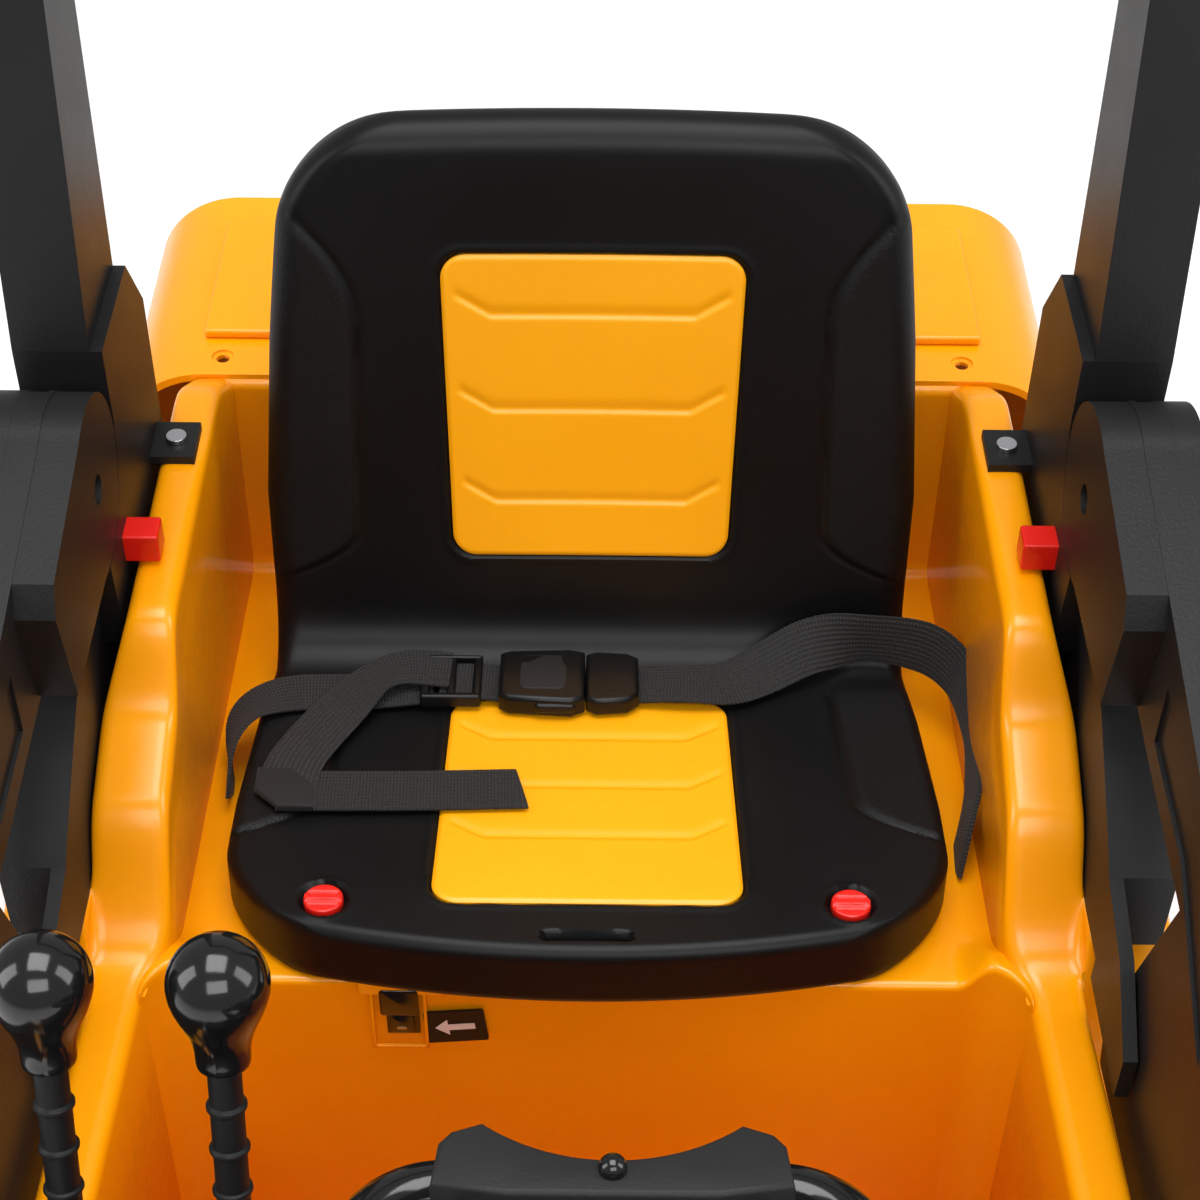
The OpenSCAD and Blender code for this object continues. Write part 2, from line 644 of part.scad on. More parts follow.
module cage_outer() color("black") place() {
    difference() {
        slab(cage_seam, cage_out) cage_outline();
        hollow(cage_seam - 1, cage_out - shell_t) cage_outline();
    }
    // tongue that holds the arm's pivot pin
    difference() {
        slab(cage_seam, cage_seam + 6) {
            translate([pivot_y, pivot_z - tongue_r]) square([-20 - pivot_y, 2 * tongue_r]);
            translate([pivot_y, pivot_z]) circle(tongue_r);
        }
        rod(cage_seam - 1, cage_seam + 7, pivot_y, pivot_z, pin_d / 2 + 0.02);
    }
}

module cross_beam() color("black") place() {
    block([-post_x, 8, seat_h + cage_h - 34], [post_x, 34, seat_h + cage_h]);
}

module ledge_screws() color("silver") place() both() translate([screw_x, screw_y, ledge_z - 3]) {
    cylinder(h = 7, r = 2);
    translate([0, 0, 7]) cylinder(h = 2.4, r = 4.5);
}

// ---- loader ----

arm_top = [[pivot_y, pivot_z + boss_r], [-240, seat_h + 170], [-330, seat_h + 136],
    [front_y - 60, seat_h + 40], [dump_y + 8, seat_h - 70],
    [dump_y - 8, dump_z + 55], [dump_y - 14, dump_z + 12]];
arm_bottom = [[dump_y, dump_z - 18], [dump_y + 17, dump_z - 5], [dump_y + 20, seat_h - 90],
    [dump_y + 42, seat_h - 36], [dump_y + 80, seat_h - 14], [-282, seat_h - 12],
    [-212, seat_h - 20], [-205, seat_h + 3], [-235, seat_h + 84],
    [-248, seat_h + 119], [pivot_y - 10, pivot_z - boss_r + 2]];

module arm_outline() {
    polygon(concat(arm_top, arm_bottom));
    translate([pivot_y, pivot_z]) circle(boss_r);
    translate([dump_y, dump_z]) circle(18);
}

module arm_inner() color("black") place() difference() {
    union() {
        difference() {
            slab(arm_x, arm_seam) arm_outline();
            hollow(arm_x + shell_t, arm_seam + 1) arm_outline();
        }
        // broad end of the arm, over the leg of the cage
        slab(cage_x, arm_x + shell_t + 1) {
            translate([pivot_y, pivot_z]) circle(boss_r - 0.4);
            polygon([[pivot_y, pivot_z], [pivot_y, pivot_z + boss_r - 0.4], [-160, pivot_z + 22],
                [-166, pivot_z + 10], [-158, pivot_z - 36], [pivot_y - 10, pivot_z - boss_r + 2]]);
        }
        rod(arm_x + 1, arm_seam, dump_y, dump_z, pin_d / 2 + 4);
    }
    rod(cage_x - 1, arm_seam + 1, pivot_y, pivot_z, pin_d / 2 + fit);
    rod(arm_x - 1, arm_seam + 1, dump_y, dump_z, pin_d / 2 + fit);
    // room for the fixed tongue, which the arm turns around
    rod(cage_seam - gap, cage_seam + 6 + gap, pivot_y, pivot_z, boss_r - 4);
    slab(cage_seam - gap, cage_seam + 6 + gap) translate([pivot_y, pivot_z])
        polygon([[0, -tongue_r - 0.6], [44, -tongue_r - 0.6], [50, 30], [28, 42], [-9, 12]]);
    // recessed panel between the borders of the inner face
    slab(arm_x - 1, arm_x + 1.5) polygon([[-182, seat_h + 134], [-236, seat_h + 132],
        [-300, seat_h + 100], [-300, seat_h + 116], [-240, seat_h + 152], [-182, seat_h + 162]]);
}

module arm_outer() color("black") place() difference() {
    union() {
        difference() {
            slab(arm_seam, arm_out) arm_outline();
            hollow(arm_seam - 1, arm_out - shell_t) arm_outline();
        }
        rod(arm_seam, arm_out - 1, pivot_y, pivot_z, pin_d / 2 + 6);
        rod(arm_seam, arm_out - 1, dump_y, dump_z, pin_d / 2 + 4);
    }
    rod(arm_seam - 1, arm_out - 3, pivot_y, pivot_z, pin_d / 2 + fit);
    rod(arm_seam - 1, arm_out + 1, dump_y, dump_z, pin_d / 2 + fit);
}

module arm_tube() color("dimgray") place() rod(-arm_x, arm_x, dump_y + 14, seat_h - 82, 10);

module pivot_pins() color("silver") place() both() rod(cage_x + 3, arm_out - 4, pivot_y, pivot_z, pin_d / 2);

module arm_button() color("red") place()
    block([cage_x - 14, -59.7, seat_h + 106.3], [cage_x + 5, -46.3, seat_h + 119.7]);

bucket_low = 22;
bucket_r = 60;

// Points of the bucket's bend, from its floor to its back, at radius r
bend = function (r) [for (a = [-90:9:0])
    [bucket_back - bucket_r + r * cos(a), bucket_low + bucket_r + r * sin(a)]];
bend_back = [for (i = [10:-1:0]) bend(bucket_r - wall)[i]];
bucket_top = bucket_low + bucket_h;

module bucket() color("gold") place() difference() {
    union() {
        slab(-bucket_w / 2, bucket_w / 2) polygon(concat([[bucket_tip, bucket_low]], bend(bucket_r),
            [[bucket_back, bucket_top], [bucket_back - 26, bucket_top + 6]],
            [[bucket_back - 26, bucket_top + 2], [bucket_back - wall, bucket_top - wall]],
            bend_back, [[bucket_tip, bucket_low + 2]]));
        both() {
            slab(bucket_w / 2 - wall, bucket_w / 2) polygon(concat([[bucket_tip, bucket_low]], bend(bucket_r),
                [[bucket_back, bucket_top], [bucket_back - 26, bucket_top + 6]],
                [[bucket_back - 60, bucket_low + 110]]));
            // lugs on each side of the arms
            for (x = [arm_x - 7, arm_out + 2])
                slab(x, x + 5) {
                    translate([dump_y, dump_z]) circle(15);
                    polygon([[dump_y, dump_z - 15], [dump_y, dump_z + 15], [bucket_back - 1, dump_z + 24],
                        [bucket_back - 1, dump_z - 24]]);
                }
        }
        for (i = [-3:3])
            slab(i * 78 - 14, i * 78 + 14) translate([bucket_tip, bucket_low])
                polygon([[-tooth_l, 0], [12, 0], [12, 9], [-4, 8]]);
    }
    both() rod(arm_x - 10, arm_out + 10, dump_y, dump_z, pin_d / 2 + fit);
}

module bucket_pins() color("silver") place() both() {
    rod(arm_x - 9, arm_out + 9, dump_y, dump_z, pin_d / 2);
    rod(arm_out + 8, arm_out + 11, dump_y, dump_z, 9);
}

module mirrored() mirror([1, 0, 0]) children();

tub();
hood();
dash();
grille();
headlamps();
rear_cover();
rear_centre_cover();
chassis_frame();
battery();
control_box();
gear_motors();
rear_axle();
rear_tyre(1);  // rear_tyre_left
rear_rim(1);  // rear_rim_left
rear_tyre(-1);  // rear_tyre_right
rear_rim(-1);  // rear_rim_right
front_tyre(1);  // front_tyre_left
front_rim(1);  // front_rim_left
front_tyre(-1);  // front_tyre_right
front_rim(-1);  // front_rim_right
knuckle();  // knuckle_left
mirrored() knuckle();  // knuckle_right
tie_rod();
steering_shaft();
steering_wheel();
steering_pad();
horn_button();
seat_shell();
seat_panels();
seat_knob();  // seat_knob_left
mirrored() seat_knob();  // seat_knob_right
belt_left();
belt_right();
belt_adjuster();
buckle_socket();
buckle_tongue();
charge_socket();
charge_flap();
cage_inner();  // cage_inner_left
mirrored() cage_inner();  // cage_inner_right
cage_outer();  // cage_outer_left
mirrored() cage_outer();  // cage_outer_right
cross_beam();
ledge_screws();
arm_inner();  // arm_inner_left
mirrored() arm_inner();  // arm_inner_right
arm_outer();  // arm_outer_left
mirrored() arm_outer();  // arm_outer_right
arm_tube();
pivot_pins();
arm_button();  // arm_button_left
mirrored() arm_button();  // arm_button_right
bucket();
bucket_pins();
lever_stem(lever_xs[0]);  // lever_stem_inner
lever_stem(lever_xs[1]);  // lever_stem_outer
lever_knob(lever_xs[0]);  // lever_knob_inner
lever_knob(lever_xs[1]);  // lever_knob_outer
pedal();
gear_switch();
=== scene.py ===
import json
import math
import bmesh
import bpy
import numpy as np
from mathutils import Matrix, Vector

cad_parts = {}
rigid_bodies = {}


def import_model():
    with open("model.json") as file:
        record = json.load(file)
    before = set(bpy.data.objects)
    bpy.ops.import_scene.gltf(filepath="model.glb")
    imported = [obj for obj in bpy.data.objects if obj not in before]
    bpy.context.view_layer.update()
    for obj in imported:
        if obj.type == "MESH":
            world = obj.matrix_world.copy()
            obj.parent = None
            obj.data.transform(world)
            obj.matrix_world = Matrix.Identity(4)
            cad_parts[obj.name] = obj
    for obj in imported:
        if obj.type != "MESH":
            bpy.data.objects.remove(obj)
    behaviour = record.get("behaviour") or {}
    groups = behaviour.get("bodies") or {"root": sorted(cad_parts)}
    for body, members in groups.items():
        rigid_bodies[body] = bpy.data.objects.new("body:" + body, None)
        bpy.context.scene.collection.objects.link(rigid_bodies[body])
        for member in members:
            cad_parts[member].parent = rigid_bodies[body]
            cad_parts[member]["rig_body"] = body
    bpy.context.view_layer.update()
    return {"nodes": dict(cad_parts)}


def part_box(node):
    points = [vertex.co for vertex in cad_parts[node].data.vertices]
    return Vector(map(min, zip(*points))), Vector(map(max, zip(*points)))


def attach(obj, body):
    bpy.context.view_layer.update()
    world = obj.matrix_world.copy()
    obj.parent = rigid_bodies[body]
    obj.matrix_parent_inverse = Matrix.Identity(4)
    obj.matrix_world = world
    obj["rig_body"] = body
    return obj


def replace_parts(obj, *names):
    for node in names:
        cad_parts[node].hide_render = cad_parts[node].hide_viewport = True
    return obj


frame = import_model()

# The crease of the seat is the place that most sizes are taken from, in mm
fromCover = {"forward": 92, "down": 87}
coverLow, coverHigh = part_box("rear_cover")
creaseY = coverLow.y * 1000 - fromCover["forward"]
creaseZ = coverHigh.z * 1000 - fromCover["down"]


def stagePrint(name):
    print("scene:", name, flush=True)


def toFrame(points):
    # points in mm from the crease become metres in the frame
    return (np.asarray(points, float) + [0, creaseY, creaseZ]) / 1000


def lift(values, low, high):
    # smooth step: 0 below low, 1 above high, with level ends
    t = np.clip((values - low) / (high - low), 0, 1)
    return t * t * (3 - 2 * t)


def addMesh(name, points, faces, material, body, smoothAngle=40, uv=None, attributes=None, facing=None):
    mesh = bpy.data.meshes.new(name)
    mesh.from_pydata(toFrame(points), [], faces)
    if uv is not None:
        layer = mesh.uv_layers.new(name="UVMap")
        corner = np.empty(len(mesh.loops), int)
        mesh.loops.foreach_get("vertex_index", corner)
        layer.data.foreach_set("uv", np.asarray(uv, np.float32)[corner].ravel())
    for key, values in (attributes or {}).items():
        layer = mesh.attributes.new(key, "FLOAT", "POINT")
        layer.data.foreach_set("value", np.asarray(values, np.float32).ravel())
    work = bmesh.new()
    work.from_mesh(mesh)
    bmesh.ops.remove_doubles(work, verts=work.verts, dist=2e-6)
    bmesh.ops.dissolve_degenerate(work, edges=work.edges, dist=1e-6)
    bmesh.ops.recalc_face_normals(work, faces=work.faces)
    if facing is not None and sum((f.normal * f.calc_area()).dot(Vector(facing)) for f in work.faces) < 0:
        bmesh.ops.reverse_faces(work, faces=work.faces)
    work.to_mesh(mesh)
    work.free()
    return finishMesh(name, mesh, material, body, smoothAngle)


def finishMesh(name, mesh, material, body, smoothAngle):
    mesh.polygons.foreach_set("use_smooth", [True] * len(mesh.polygons))
    mesh.set_sharp_from_angle(angle=math.radians(smoothAngle))
    mesh.materials.clear()
    mesh.materials.append(material[0])
    piece = bpy.data.objects.new(name, mesh)
    bpy.context.scene.collection.objects.link(piece)
    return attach(piece, body)


def gridFaces(rows, columns, closeRows=False, closeColumns=False):
    # quads between neighbouring rows and columns of a grid
    r = np.arange(rows if closeRows else rows - 1)
    c = np.arange(columns if closeColumns else columns - 1)
    a, b = np.meshgrid(r, c, indexing="ij")
    a2, b2 = (a + 1) % rows, (b + 1) % columns
    quads = np.stack([a * columns + b, a * columns + b2, a2 * columns + b2, a2 * columns + b], -1)
    return quads.reshape(-1, 4).tolist()


def addGrid(name, grid, material, body, closeRows=False, closeColumns=False, caps=False, **more):
    rows, columns = grid.shape[:2]
    faces = gridFaces(rows, columns, closeRows, closeColumns)
    if caps:
        faces += [list(range(columns)), list(range((rows - 1) * columns, rows * columns))]
    return addMesh(name, grid.reshape(-1, 3), faces, material, body, **more)


def roundCorners(corners, radii, steps=6):
    # every corner is replaced by a parabola that leaves each side radius away from it, half a side at most
    corners = np.asarray(corners, float)
    before, after = np.roll(corners, 1, -2), np.roll(corners, -1, -2)
    radii = np.asarray(radii, float)[..., None]
    toBefore, toAfter = before - corners, after - corners
    reach = [np.minimum(radii / np.maximum(np.linalg.norm(s, axis=-1, keepdims=True), 1e-9), 0.49)
             for s in (toBefore, toAfter)]
    start, end = corners + toBefore * reach[0], corners + toAfter * reach[1]
    t = np.linspace(0, 1, steps)[:, None]
    curve = (start[..., None, :] * (1 - t) ** 2 + corners[..., None, :] * (2 * t * (1 - t))
             + end[..., None, :] * t ** 2)
    return curve.reshape(*corners.shape[:-2], -1, corners.shape[-1])


def openPath(corners, radii, steps=6):
    # the same with its two ends left where they are
    corners = np.asarray(corners, float)
    inner = roundCorners(corners, radii, steps)
    return np.concatenate([corners[..., :1, :], inner[..., steps:-steps, :], corners[..., -1:, :]], -2)


def thicken(piece, depth):
    # a wall that grows away from the side the faces look to
    wall = piece.modifiers.new("wall", "SOLIDIFY")
    wall.thickness = depth / 1000
    wall.offset = -1
    return piece


def spin(profile, steps=64):
    # (radius, height) pairs turned about Z
    profile = np.asarray(profile, float)
    turn = np.linspace(0, 2 * math.pi, steps, endpoint=False)
    ring = np.stack([np.cos(turn), np.sin(turn)], -1)
    xy = profile[:, None, :1] * ring[None]
    z = np.broadcast_to(profile[:, None, 1:], (len(profile), steps, 1))
    return np.concatenate([xy, z], -1)


def turnedX(points, degrees):
    # turned about X, so that a positive angle leans +Z towards -Y
    a = math.radians(degrees)
    matrix = np.array([[1, 0, 0], [0, math.cos(a), -math.sin(a)], [0, math.sin(a), math.cos(a)]])
    return np.asarray(points) @ matrix.T


def smoothRows(values, passes):
    # each value becomes the mean of itself and its two neighbours, again and again; the ends stay
    values = values.copy()
    for _ in range(passes):
        values[1:-1] = (values[:-2] + 2 * values[1:-1] + values[2:]) / 4
    return values


def newMaterial(name, slotName, colour, roughness, **sockets):
    material = bpy.data.materials.new(name)
    material.use_nodes = True
    shader = material.node_tree.nodes["Principled BSDF"]
    shader.inputs["Base Color"].default_value = (*colour, 1)
    shader.inputs["Roughness"].default_value = roughness
    for key, value in sockets.items():
        shader.inputs[key.replace("_", " ")].default_value = value
    return material, slotName


def addNode(material, kind, **values):
    node = material[0].node_tree.nodes.new(kind)
    for key, value in values.items():
        if key in node.inputs:
            node.inputs[key].default_value = value
        else:
            setattr(node, key, value)
    return node


def link(material, source, target):
    material[0].node_tree.links.new(source, target)


def shaderOf(material):
    return material[0].node_tree.nodes["Principled BSDF"]


def objectPattern(material, kind, **values):
    place = addNode(material, "ShaderNodeTexCoord")
    pattern = addNode(material, kind, **values)
    link(material, place.outputs["Object"], pattern.inputs["Vector"])
    return pattern


def scaled(material, source, low, high):
    # maps 0..1 to low..high
    change = addNode(material, "ShaderNodeMapRange")
    change.inputs["To Min"].default_value = low
    change.inputs["To Max"].default_value = high
    link(material, source, change.inputs["Value"])
    return change.outputs["Result"]


def bumpFrom(material, height, strength, distance, before=None):
    bump = addNode(material, "ShaderNodeBump", Strength=strength, Distance=distance)
    link(material, height, bump.inputs["Height"])
    if before is not None:
        link(material, before.outputs["Normal"], bump.inputs["Normal"])
    return bump


def bumpInto(material, bump):
    link(material, bump.outputs["Normal"], shaderOf(material).inputs["Normal"])


def roughFrom(material, source, low, high):
    link(material, scaled(material, source, low, high), shaderOf(material).inputs["Roughness"])


def tintFrom(material, source, dark, light):
    # the colour goes from dark to light with the source
    ramp = addNode(material, "ShaderNodeValToRGB")
    ramp.color_ramp.elements[0].color = (*dark, 1)
    ramp.color_ramp.elements[1].color = (*light, 1)
    link(material, source, ramp.inputs["Fac"])
    link(material, ramp.outputs["Color"], shaderOf(material).inputs["Base Color"])


def gloss(name, slotName, dark, light, roughness, flow=0.0006):
    # moulded plastic: slow shrink waves in the surface, faint flow marks and uneven shine
    material = newMaterial(name, slotName, light, roughness)
    waves = objectPattern(material, "ShaderNodeTexNoise", Scale=14, Detail=3)
    marks = objectPattern(material, "ShaderNodeTexNoise", Scale=160, Detail=4)
    specks = objectPattern(material, "ShaderNodeTexNoise", Scale=900, Detail=2)
    tintFrom(material, scaled(material, waves.outputs["Fac"], -0.2, 1.2), dark, light)
    roughFrom(material, marks.outputs["Fac"], roughness - 0.05, roughness + 0.07)
    first = bumpFrom(material, waves.outputs["Fac"], 0.25, flow)
    last = bumpFrom(material, specks.outputs["Fac"], 0.05, 0.0002, first)
    bumpInto(material, last)
    return material


def grained(name, slotName, dark, light, roughness, cell=900, strength=0.35, depth=0.0002):
    # textured plastic: a fine pebble grain, with slow blotches of lighter, greyer tone and slow changes of
    # shine
    material = newMaterial(name, slotName, light, roughness, Specular_IOR_Level=0.25)
    pebbles = objectPattern(material, "ShaderNodeTexVoronoi", Scale=cell, feature="SMOOTH_F1")
    blotches = objectPattern(material, "ShaderNodeTexNoise", Scale=22, Detail=5)
    fine = objectPattern(material, "ShaderNodeTexNoise", Scale=cell * 2.2, Detail=2)
    tintFrom(material, scaled(material, blotches.outputs["Fac"], -0.1, 1.1), dark, light)
    roughFrom(material, blotches.outputs["Fac"], roughness - 0.07, roughness + 0.07)
    first = bumpFrom(material, pebbles.outputs["Distance"], strength, depth)
    last = bumpFrom(material, fine.outputs["Fac"], strength * 0.4, depth, first)
    bumpInto(material, last)
    return material


def metal(name, slotName, colour, roughness, stretch):
    # drawn metal: fine lines along X, with stains
    material = newMaterial(name, slotName, colour, roughness, Metallic=1.0)
    place = addNode(material, "ShaderNodeTexCoord")
    along = addNode(material, "ShaderNodeMapping")
    along.inputs["Scale"].default_value = (stretch, 1, 1)
    lines = addNode(material, "ShaderNodeTexNoise", Scale=700, Detail=3)
    link(material, place.outputs["Object"], along.inputs["Vector"])
    link(material, along.outputs["Vector"], lines.inputs["Vector"])
    stains = objectPattern(material, "ShaderNodeTexNoise", Scale=40, Detail=4)
    tintFrom(material, stains.outputs["Fac"], [c * 0.8 for c in colour], colour)
    roughFrom(material, lines.outputs["Fac"], roughness - 0.08, roughness + 0.1)
    bump = bumpFrom(material, lines.outputs["Fac"], 0.08, 0.0001)
    bumpInto(material, bump)
    return material


def seatPlastic():
    # satin seat moulding: fine grain everywhere, leather cells where the attribute leather is 1
    material = newMaterial("seatPlastic", "seat_black", (0.004, 0.004, 0.0042), 0.42, Specular_IOR_Level=0.22)
    part = addNode(material, "ShaderNodeAttribute", attribute_name="leather")
    cells = objectPattern(material, "ShaderNodeTexVoronoi", Scale=1100, feature="DISTANCE_TO_EDGE")
    fine = objectPattern(material, "ShaderNodeTexNoise", Scale=2600, Detail=3)
    blotches = objectPattern(material, "ShaderNodeTexNoise", Scale=16, Detail=5)
    leather = addNode(material, "ShaderNodeMath", operation="MULTIPLY")
    link(material, scaled(material, cells.outputs["Distance"], 0, 3.0), leather.inputs[0])
    link(material, part.outputs["Fac"], leather.inputs[1])
    tintFrom(material, blotches.outputs["Fac"], (0.002, 0.002, 0.0021), (0.0045, 0.0045, 0.0048))
    rough = addNode(material, "ShaderNodeMath", operation="ADD")
    link(material, scaled(material, blotches.outputs["Fac"], 0.36, 0.46), rough.inputs[0])
    link(material, scaled(material, part.outputs["Fac"], 0.0, 0.1), rough.inputs[1])
    link(material, rough.outputs[0], shaderOf(material).inputs["Roughness"])
    first = bumpFrom(material, leather.outputs[0], 0.45, 0.00025)
    last = bumpFrom(material, fine.outputs["Fac"], 0.22, 0.00015, first)
    bumpInto(material, last)
    return material


def webbingFabric():
    # woven nylon: rows of threads across the strap and ribs along it, from the strap's own UV in mm
    material = newMaterial("webbingFabric", "webbing", (0.006, 0.006, 0.0065), 0.72, Sheen_Weight=0.08)
    place = addNode(material, "ShaderNodeTexCoord")
    across = addNode(material, "ShaderNodeTexWave", Scale=0.14, bands_direction="X")
    along = addNode(material, "ShaderNodeTexWave", Scale=0.22, bands_direction="Y")
    fuzz = addNode(material, "ShaderNodeTexNoise", Scale=1.8, Detail=4)
    for pattern in (across, along, fuzz):
        link(material, place.outputs["UV"], pattern.inputs["Vector"])
    weave = addNode(material, "ShaderNodeMath", operation="MULTIPLY")
    link(material, across.outputs["Fac"], weave.inputs[0])
    link(material, along.outputs["Fac"], weave.inputs[1])
    tintFrom(material, weave.outputs[0], (0.002, 0.002, 0.0022), (0.014, 0.014, 0.015))
    first = bumpFrom(material, weave.outputs[0], 0.9, 0.0006)
    last = bumpFrom(material, fuzz.outputs["Fac"], 0.3, 0.0002, first)
    bumpInto(material, last)
    return material


def lampLens():
    # clear moulded lens: upright ribs in its surface and in its shine
    material = newMaterial("lampLens", "lamp_glass", (0.93, 0.95, 0.97), 0.06, Transmission_Weight=0.75,
                           IOR=1.49)
    ribs = objectPattern(material, "ShaderNodeTexWave", Scale=60, bands_direction="X")
    roughFrom(material, ribs.outputs["Fac"], 0.04, 0.12)
    bump = bumpFrom(material, ribs.outputs["Fac"], 0.35, 0.0006)
    bumpInto(material, bump)
    return material


stagePrint("materials")
bodyYellow = gloss("bodyYellow", "yellow_plastic", (0.9, 0.31, 0.0), (0.97, 0.36, 0.001), 0.22)
panelYellow = gloss("panelYellow", "yellow_plastic", (0.96, 0.39, 0.002), (1.0, 0.43, 0.004), 0.33, 0.0003)
cageBlack = grained("cageBlack", "grained_black", (0.006, 0.006, 0.0063), (0.012, 0.012, 0.0125),
                    0.46, 800, 0.4)
darkGrained = grained("darkGrained", "grained_black", (0.010, 0.010, 0.0105), (0.018, 0.018, 0.0185), 0.52)
seatBlack = seatPlastic()
softBlack = grained("softBlack", "seat_black", (0.004, 0.004, 0.0042), (0.008, 0.008, 0.0083),
                    0.5, 1500, 0.25)
glossBlack = gloss("glossBlack", "gloss_black", (0.004, 0.004, 0.0042), (0.007, 0.007, 0.0073), 0.12, 0.0003)
clipBlack = grained("clipBlack", "gloss_black", (0.003, 0.003, 0.0031), (0.006, 0.006, 0.0063),
                    0.3, 1600, 0.15)
signalRed = gloss("signalRed", "red_plastic", (0.62, 0.008, 0.004), (0.78, 0.016, 0.008), 0.28, 0.0003)
tyreBlack = grained("tyreBlack", "tyre_black", (0.012, 0.012, 0.012), (0.024, 0.024, 0.023), 0.62, 500, 0.3)
framePaint = grained("framePaint", "painted_frame", (0.016, 0.016, 0.018), (0.03, 0.03, 0.033),
                     0.36, 1200, 0.2)
zincSteel = metal("zincSteel", "zinc_steel", (0.58, 0.58, 0.6), 0.32, 0.05)
screwChrome = metal("screwChrome", "screw_chrome", (0.78, 0.78, 0.8), 0.16, 0.3)
webbing = webbingFabric()
lensGlass = lampLens()
# near-black material used as painted shade: it stands in for the shadow inside the buckle tongue's slot
slotShadePaint = grained("slotShadePaint", "grained_black", (0.001, 0.001, 0.001), (0.002, 0.002, 0.002), 0.8)
labelWhite = grained("labelWhite", "seat_black", (0.72, 0.72, 0.7), (0.8, 0.8, 0.78), 0.5, 1500, 0.1)


def dissolved(node, flatAngle=1.0):
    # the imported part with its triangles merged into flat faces
    work = bmesh.new()
    work.from_mesh(frame["nodes"][node].data)
    bmesh.ops.remove_doubles(work, verts=work.verts, dist=1e-5)
    bmesh.ops.dissolve_limit(work, angle_limit=math.radians(flatAngle), verts=work.verts, edges=work.edges)
    return work


def roundEdges(work, radius, choose=None, corner=30, steps=2):
    # rounds the edges that turn more than corner, where choose(middle in mm from the crease) says so
    chosen = []
    for edge in work.edges:
        if len(edge.link_faces) == 2 and edge.calc_face_angle(0) > math.radians(corner):
            middle = (edge.verts[0].co + edge.verts[1].co) * 500
            if choose is None or choose(middle.x, middle.y - creaseY, middle.z - creaseZ):
                chosen.append(edge)
    if chosen:
        bmesh.ops.bevel(work, geom=chosen, offset=radius / 1000, segments=steps, profile=0.5,
                        affect="EDGES", clamp_overlap=True, miter_outer="SHARP")


def softPart(node, material, radius=1.0, passes=(), steps=2, smoothAngle=32):
    # a copy of the part with its edges rounded: passes are (radius, steps, which edges)
    body = frame["nodes"][node]["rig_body"]
    work = dissolved(node)
    for passRadius, passSteps, choose in passes:
        roundEdges(work, passRadius, choose, 20, passSteps)
    if radius:
        roundEdges(work, radius, None, 30, steps)
    mesh = bpy.data.meshes.new(node + ".soft")
    work.to_mesh(mesh)
    work.free()
    piece = finishMesh(node + ".soft", mesh, material, body, smoothAngle)
    even = piece.modifiers.new("even", "WEIGHTED_NORMAL")
    even.keep_sharp = True
    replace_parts(piece, node)
    return piece


# The seat is one moulding. x runs across it, q along its middle from the top of the backrest to the front,
# and n stands off its sitting surface.
seat = {"backLean": 14, "rise": 7, "backLength": 250, "cushionLength": 196, "thickness": 30, "edge": 13,
        "frontEdge": 6, "creaseReach": 24, "topCorner": 52, "frontCorner": 44, "bow": 470, "crown": 5,
        "seamDepth": 1.1, "bolsterRise": 1.2, "recess": 2.4, "knobX": 106, "knobS": 166.2}
crease = seat["backLength"]
pathEnd = seat["backLength"] + seat["cushionLength"]


def seatPlace(x, q, n):
    # point n mm above the sitting surface: two straight lines joined by a parabola at the crease
    lean, rise = math.radians(seat["backLean"]), math.radians(seat["rise"])
    up = np.array([math.sin(lean), math.cos(lean)])
    out = np.array([-math.cos(rise), math.sin(rise)])
    reach = seat["creaseReach"]
    t = np.clip((q - crease + reach) / (2 * reach), 0, 1)[..., None]
    start, end = up * reach, out * reach
    away = (q - crease)[..., None]
    centre = np.where(t <= 0, -away * up, np.where(t >= 1, away * out, start * (1 - t) ** 2 + end * t ** 2))
    slope = -start * 2 * (1 - t) + end * 2 * t
    slope = np.where(t <= 0, -up, np.where(t >= 1, out, slope))
    slope = slope / np.linalg.norm(slope, axis=-1, keepdims=True)
    normal = np.stack([slope[..., 1], -slope[..., 0]], -1)
    yz = centre + normal * n[..., None]
    return np.concatenate([x[..., None], yz], -1)


def seatHalfWidth(q):
    # half the width at q, with the round corners of both ends
    stations = [0, 50, 100, 175, 235, 262, 300, 370, 410, 446]
    widths = [133, 135, 140, 145, 144, 143, 146.5, 149.5, 149.5, 147]
    w = np.interp(q, stations, widths)
    for end, corner in ((0, seat["topCorner"]), (pathEnd, seat["frontCorner"])):
        near = np.clip(corner - np.abs(q - end), 0, corner)
        w = w - corner + np.sqrt(corner ** 2 - near ** 2)
    return w


def ridge(distance, width):
    # exp(-(distance / width)^2): 1 on the line, fading to both sides
    return np.exp(-(distance / width) ** 2)


def bolsterEdge(q):
    # how far out the seam between the middle and the side bolster runs
    up, s = crease - q, q - crease
    back = (101 + 0.02 * (165 - up) + 30 * np.clip((up - 160) / 50, 0, 2) ** 2
            + 44 * np.clip((62 - up) / 28, 0, 2) ** 2)
    front = 106 + 0.06 * s + 36 * np.clip((s - 102) / 26, 0, 2) ** 2 + 5 * np.clip((30 - s) / 20, 0, 1)
    return np.where(q < crease, back, front)


def bolsterShare(x, q):
    # 1 outside the seam and 0 inside it, and where along the seat there is a bolster at all
    onCushion = lift(q - crease, 18, 34) * lift(pathEnd - q, 40, 52)
    inRange = np.where(q < crease, lift(crease - q, 24, 40), onCushion)
    return lift(np.abs(x) - bolsterEdge(q), -0.5, 5) * inRange, inRange


def roundedBox(x, y, halfX, halfY, corner):
    # distance outside a rectangle with round corners, negative inside
    dx, dy = np.abs(x) - halfX + corner, np.abs(y) - halfY + corner
    return np.hypot(np.maximum(dx, 0), np.maximum(dy, 0)) + np.minimum(np.maximum(dx, dy), 0) - corner


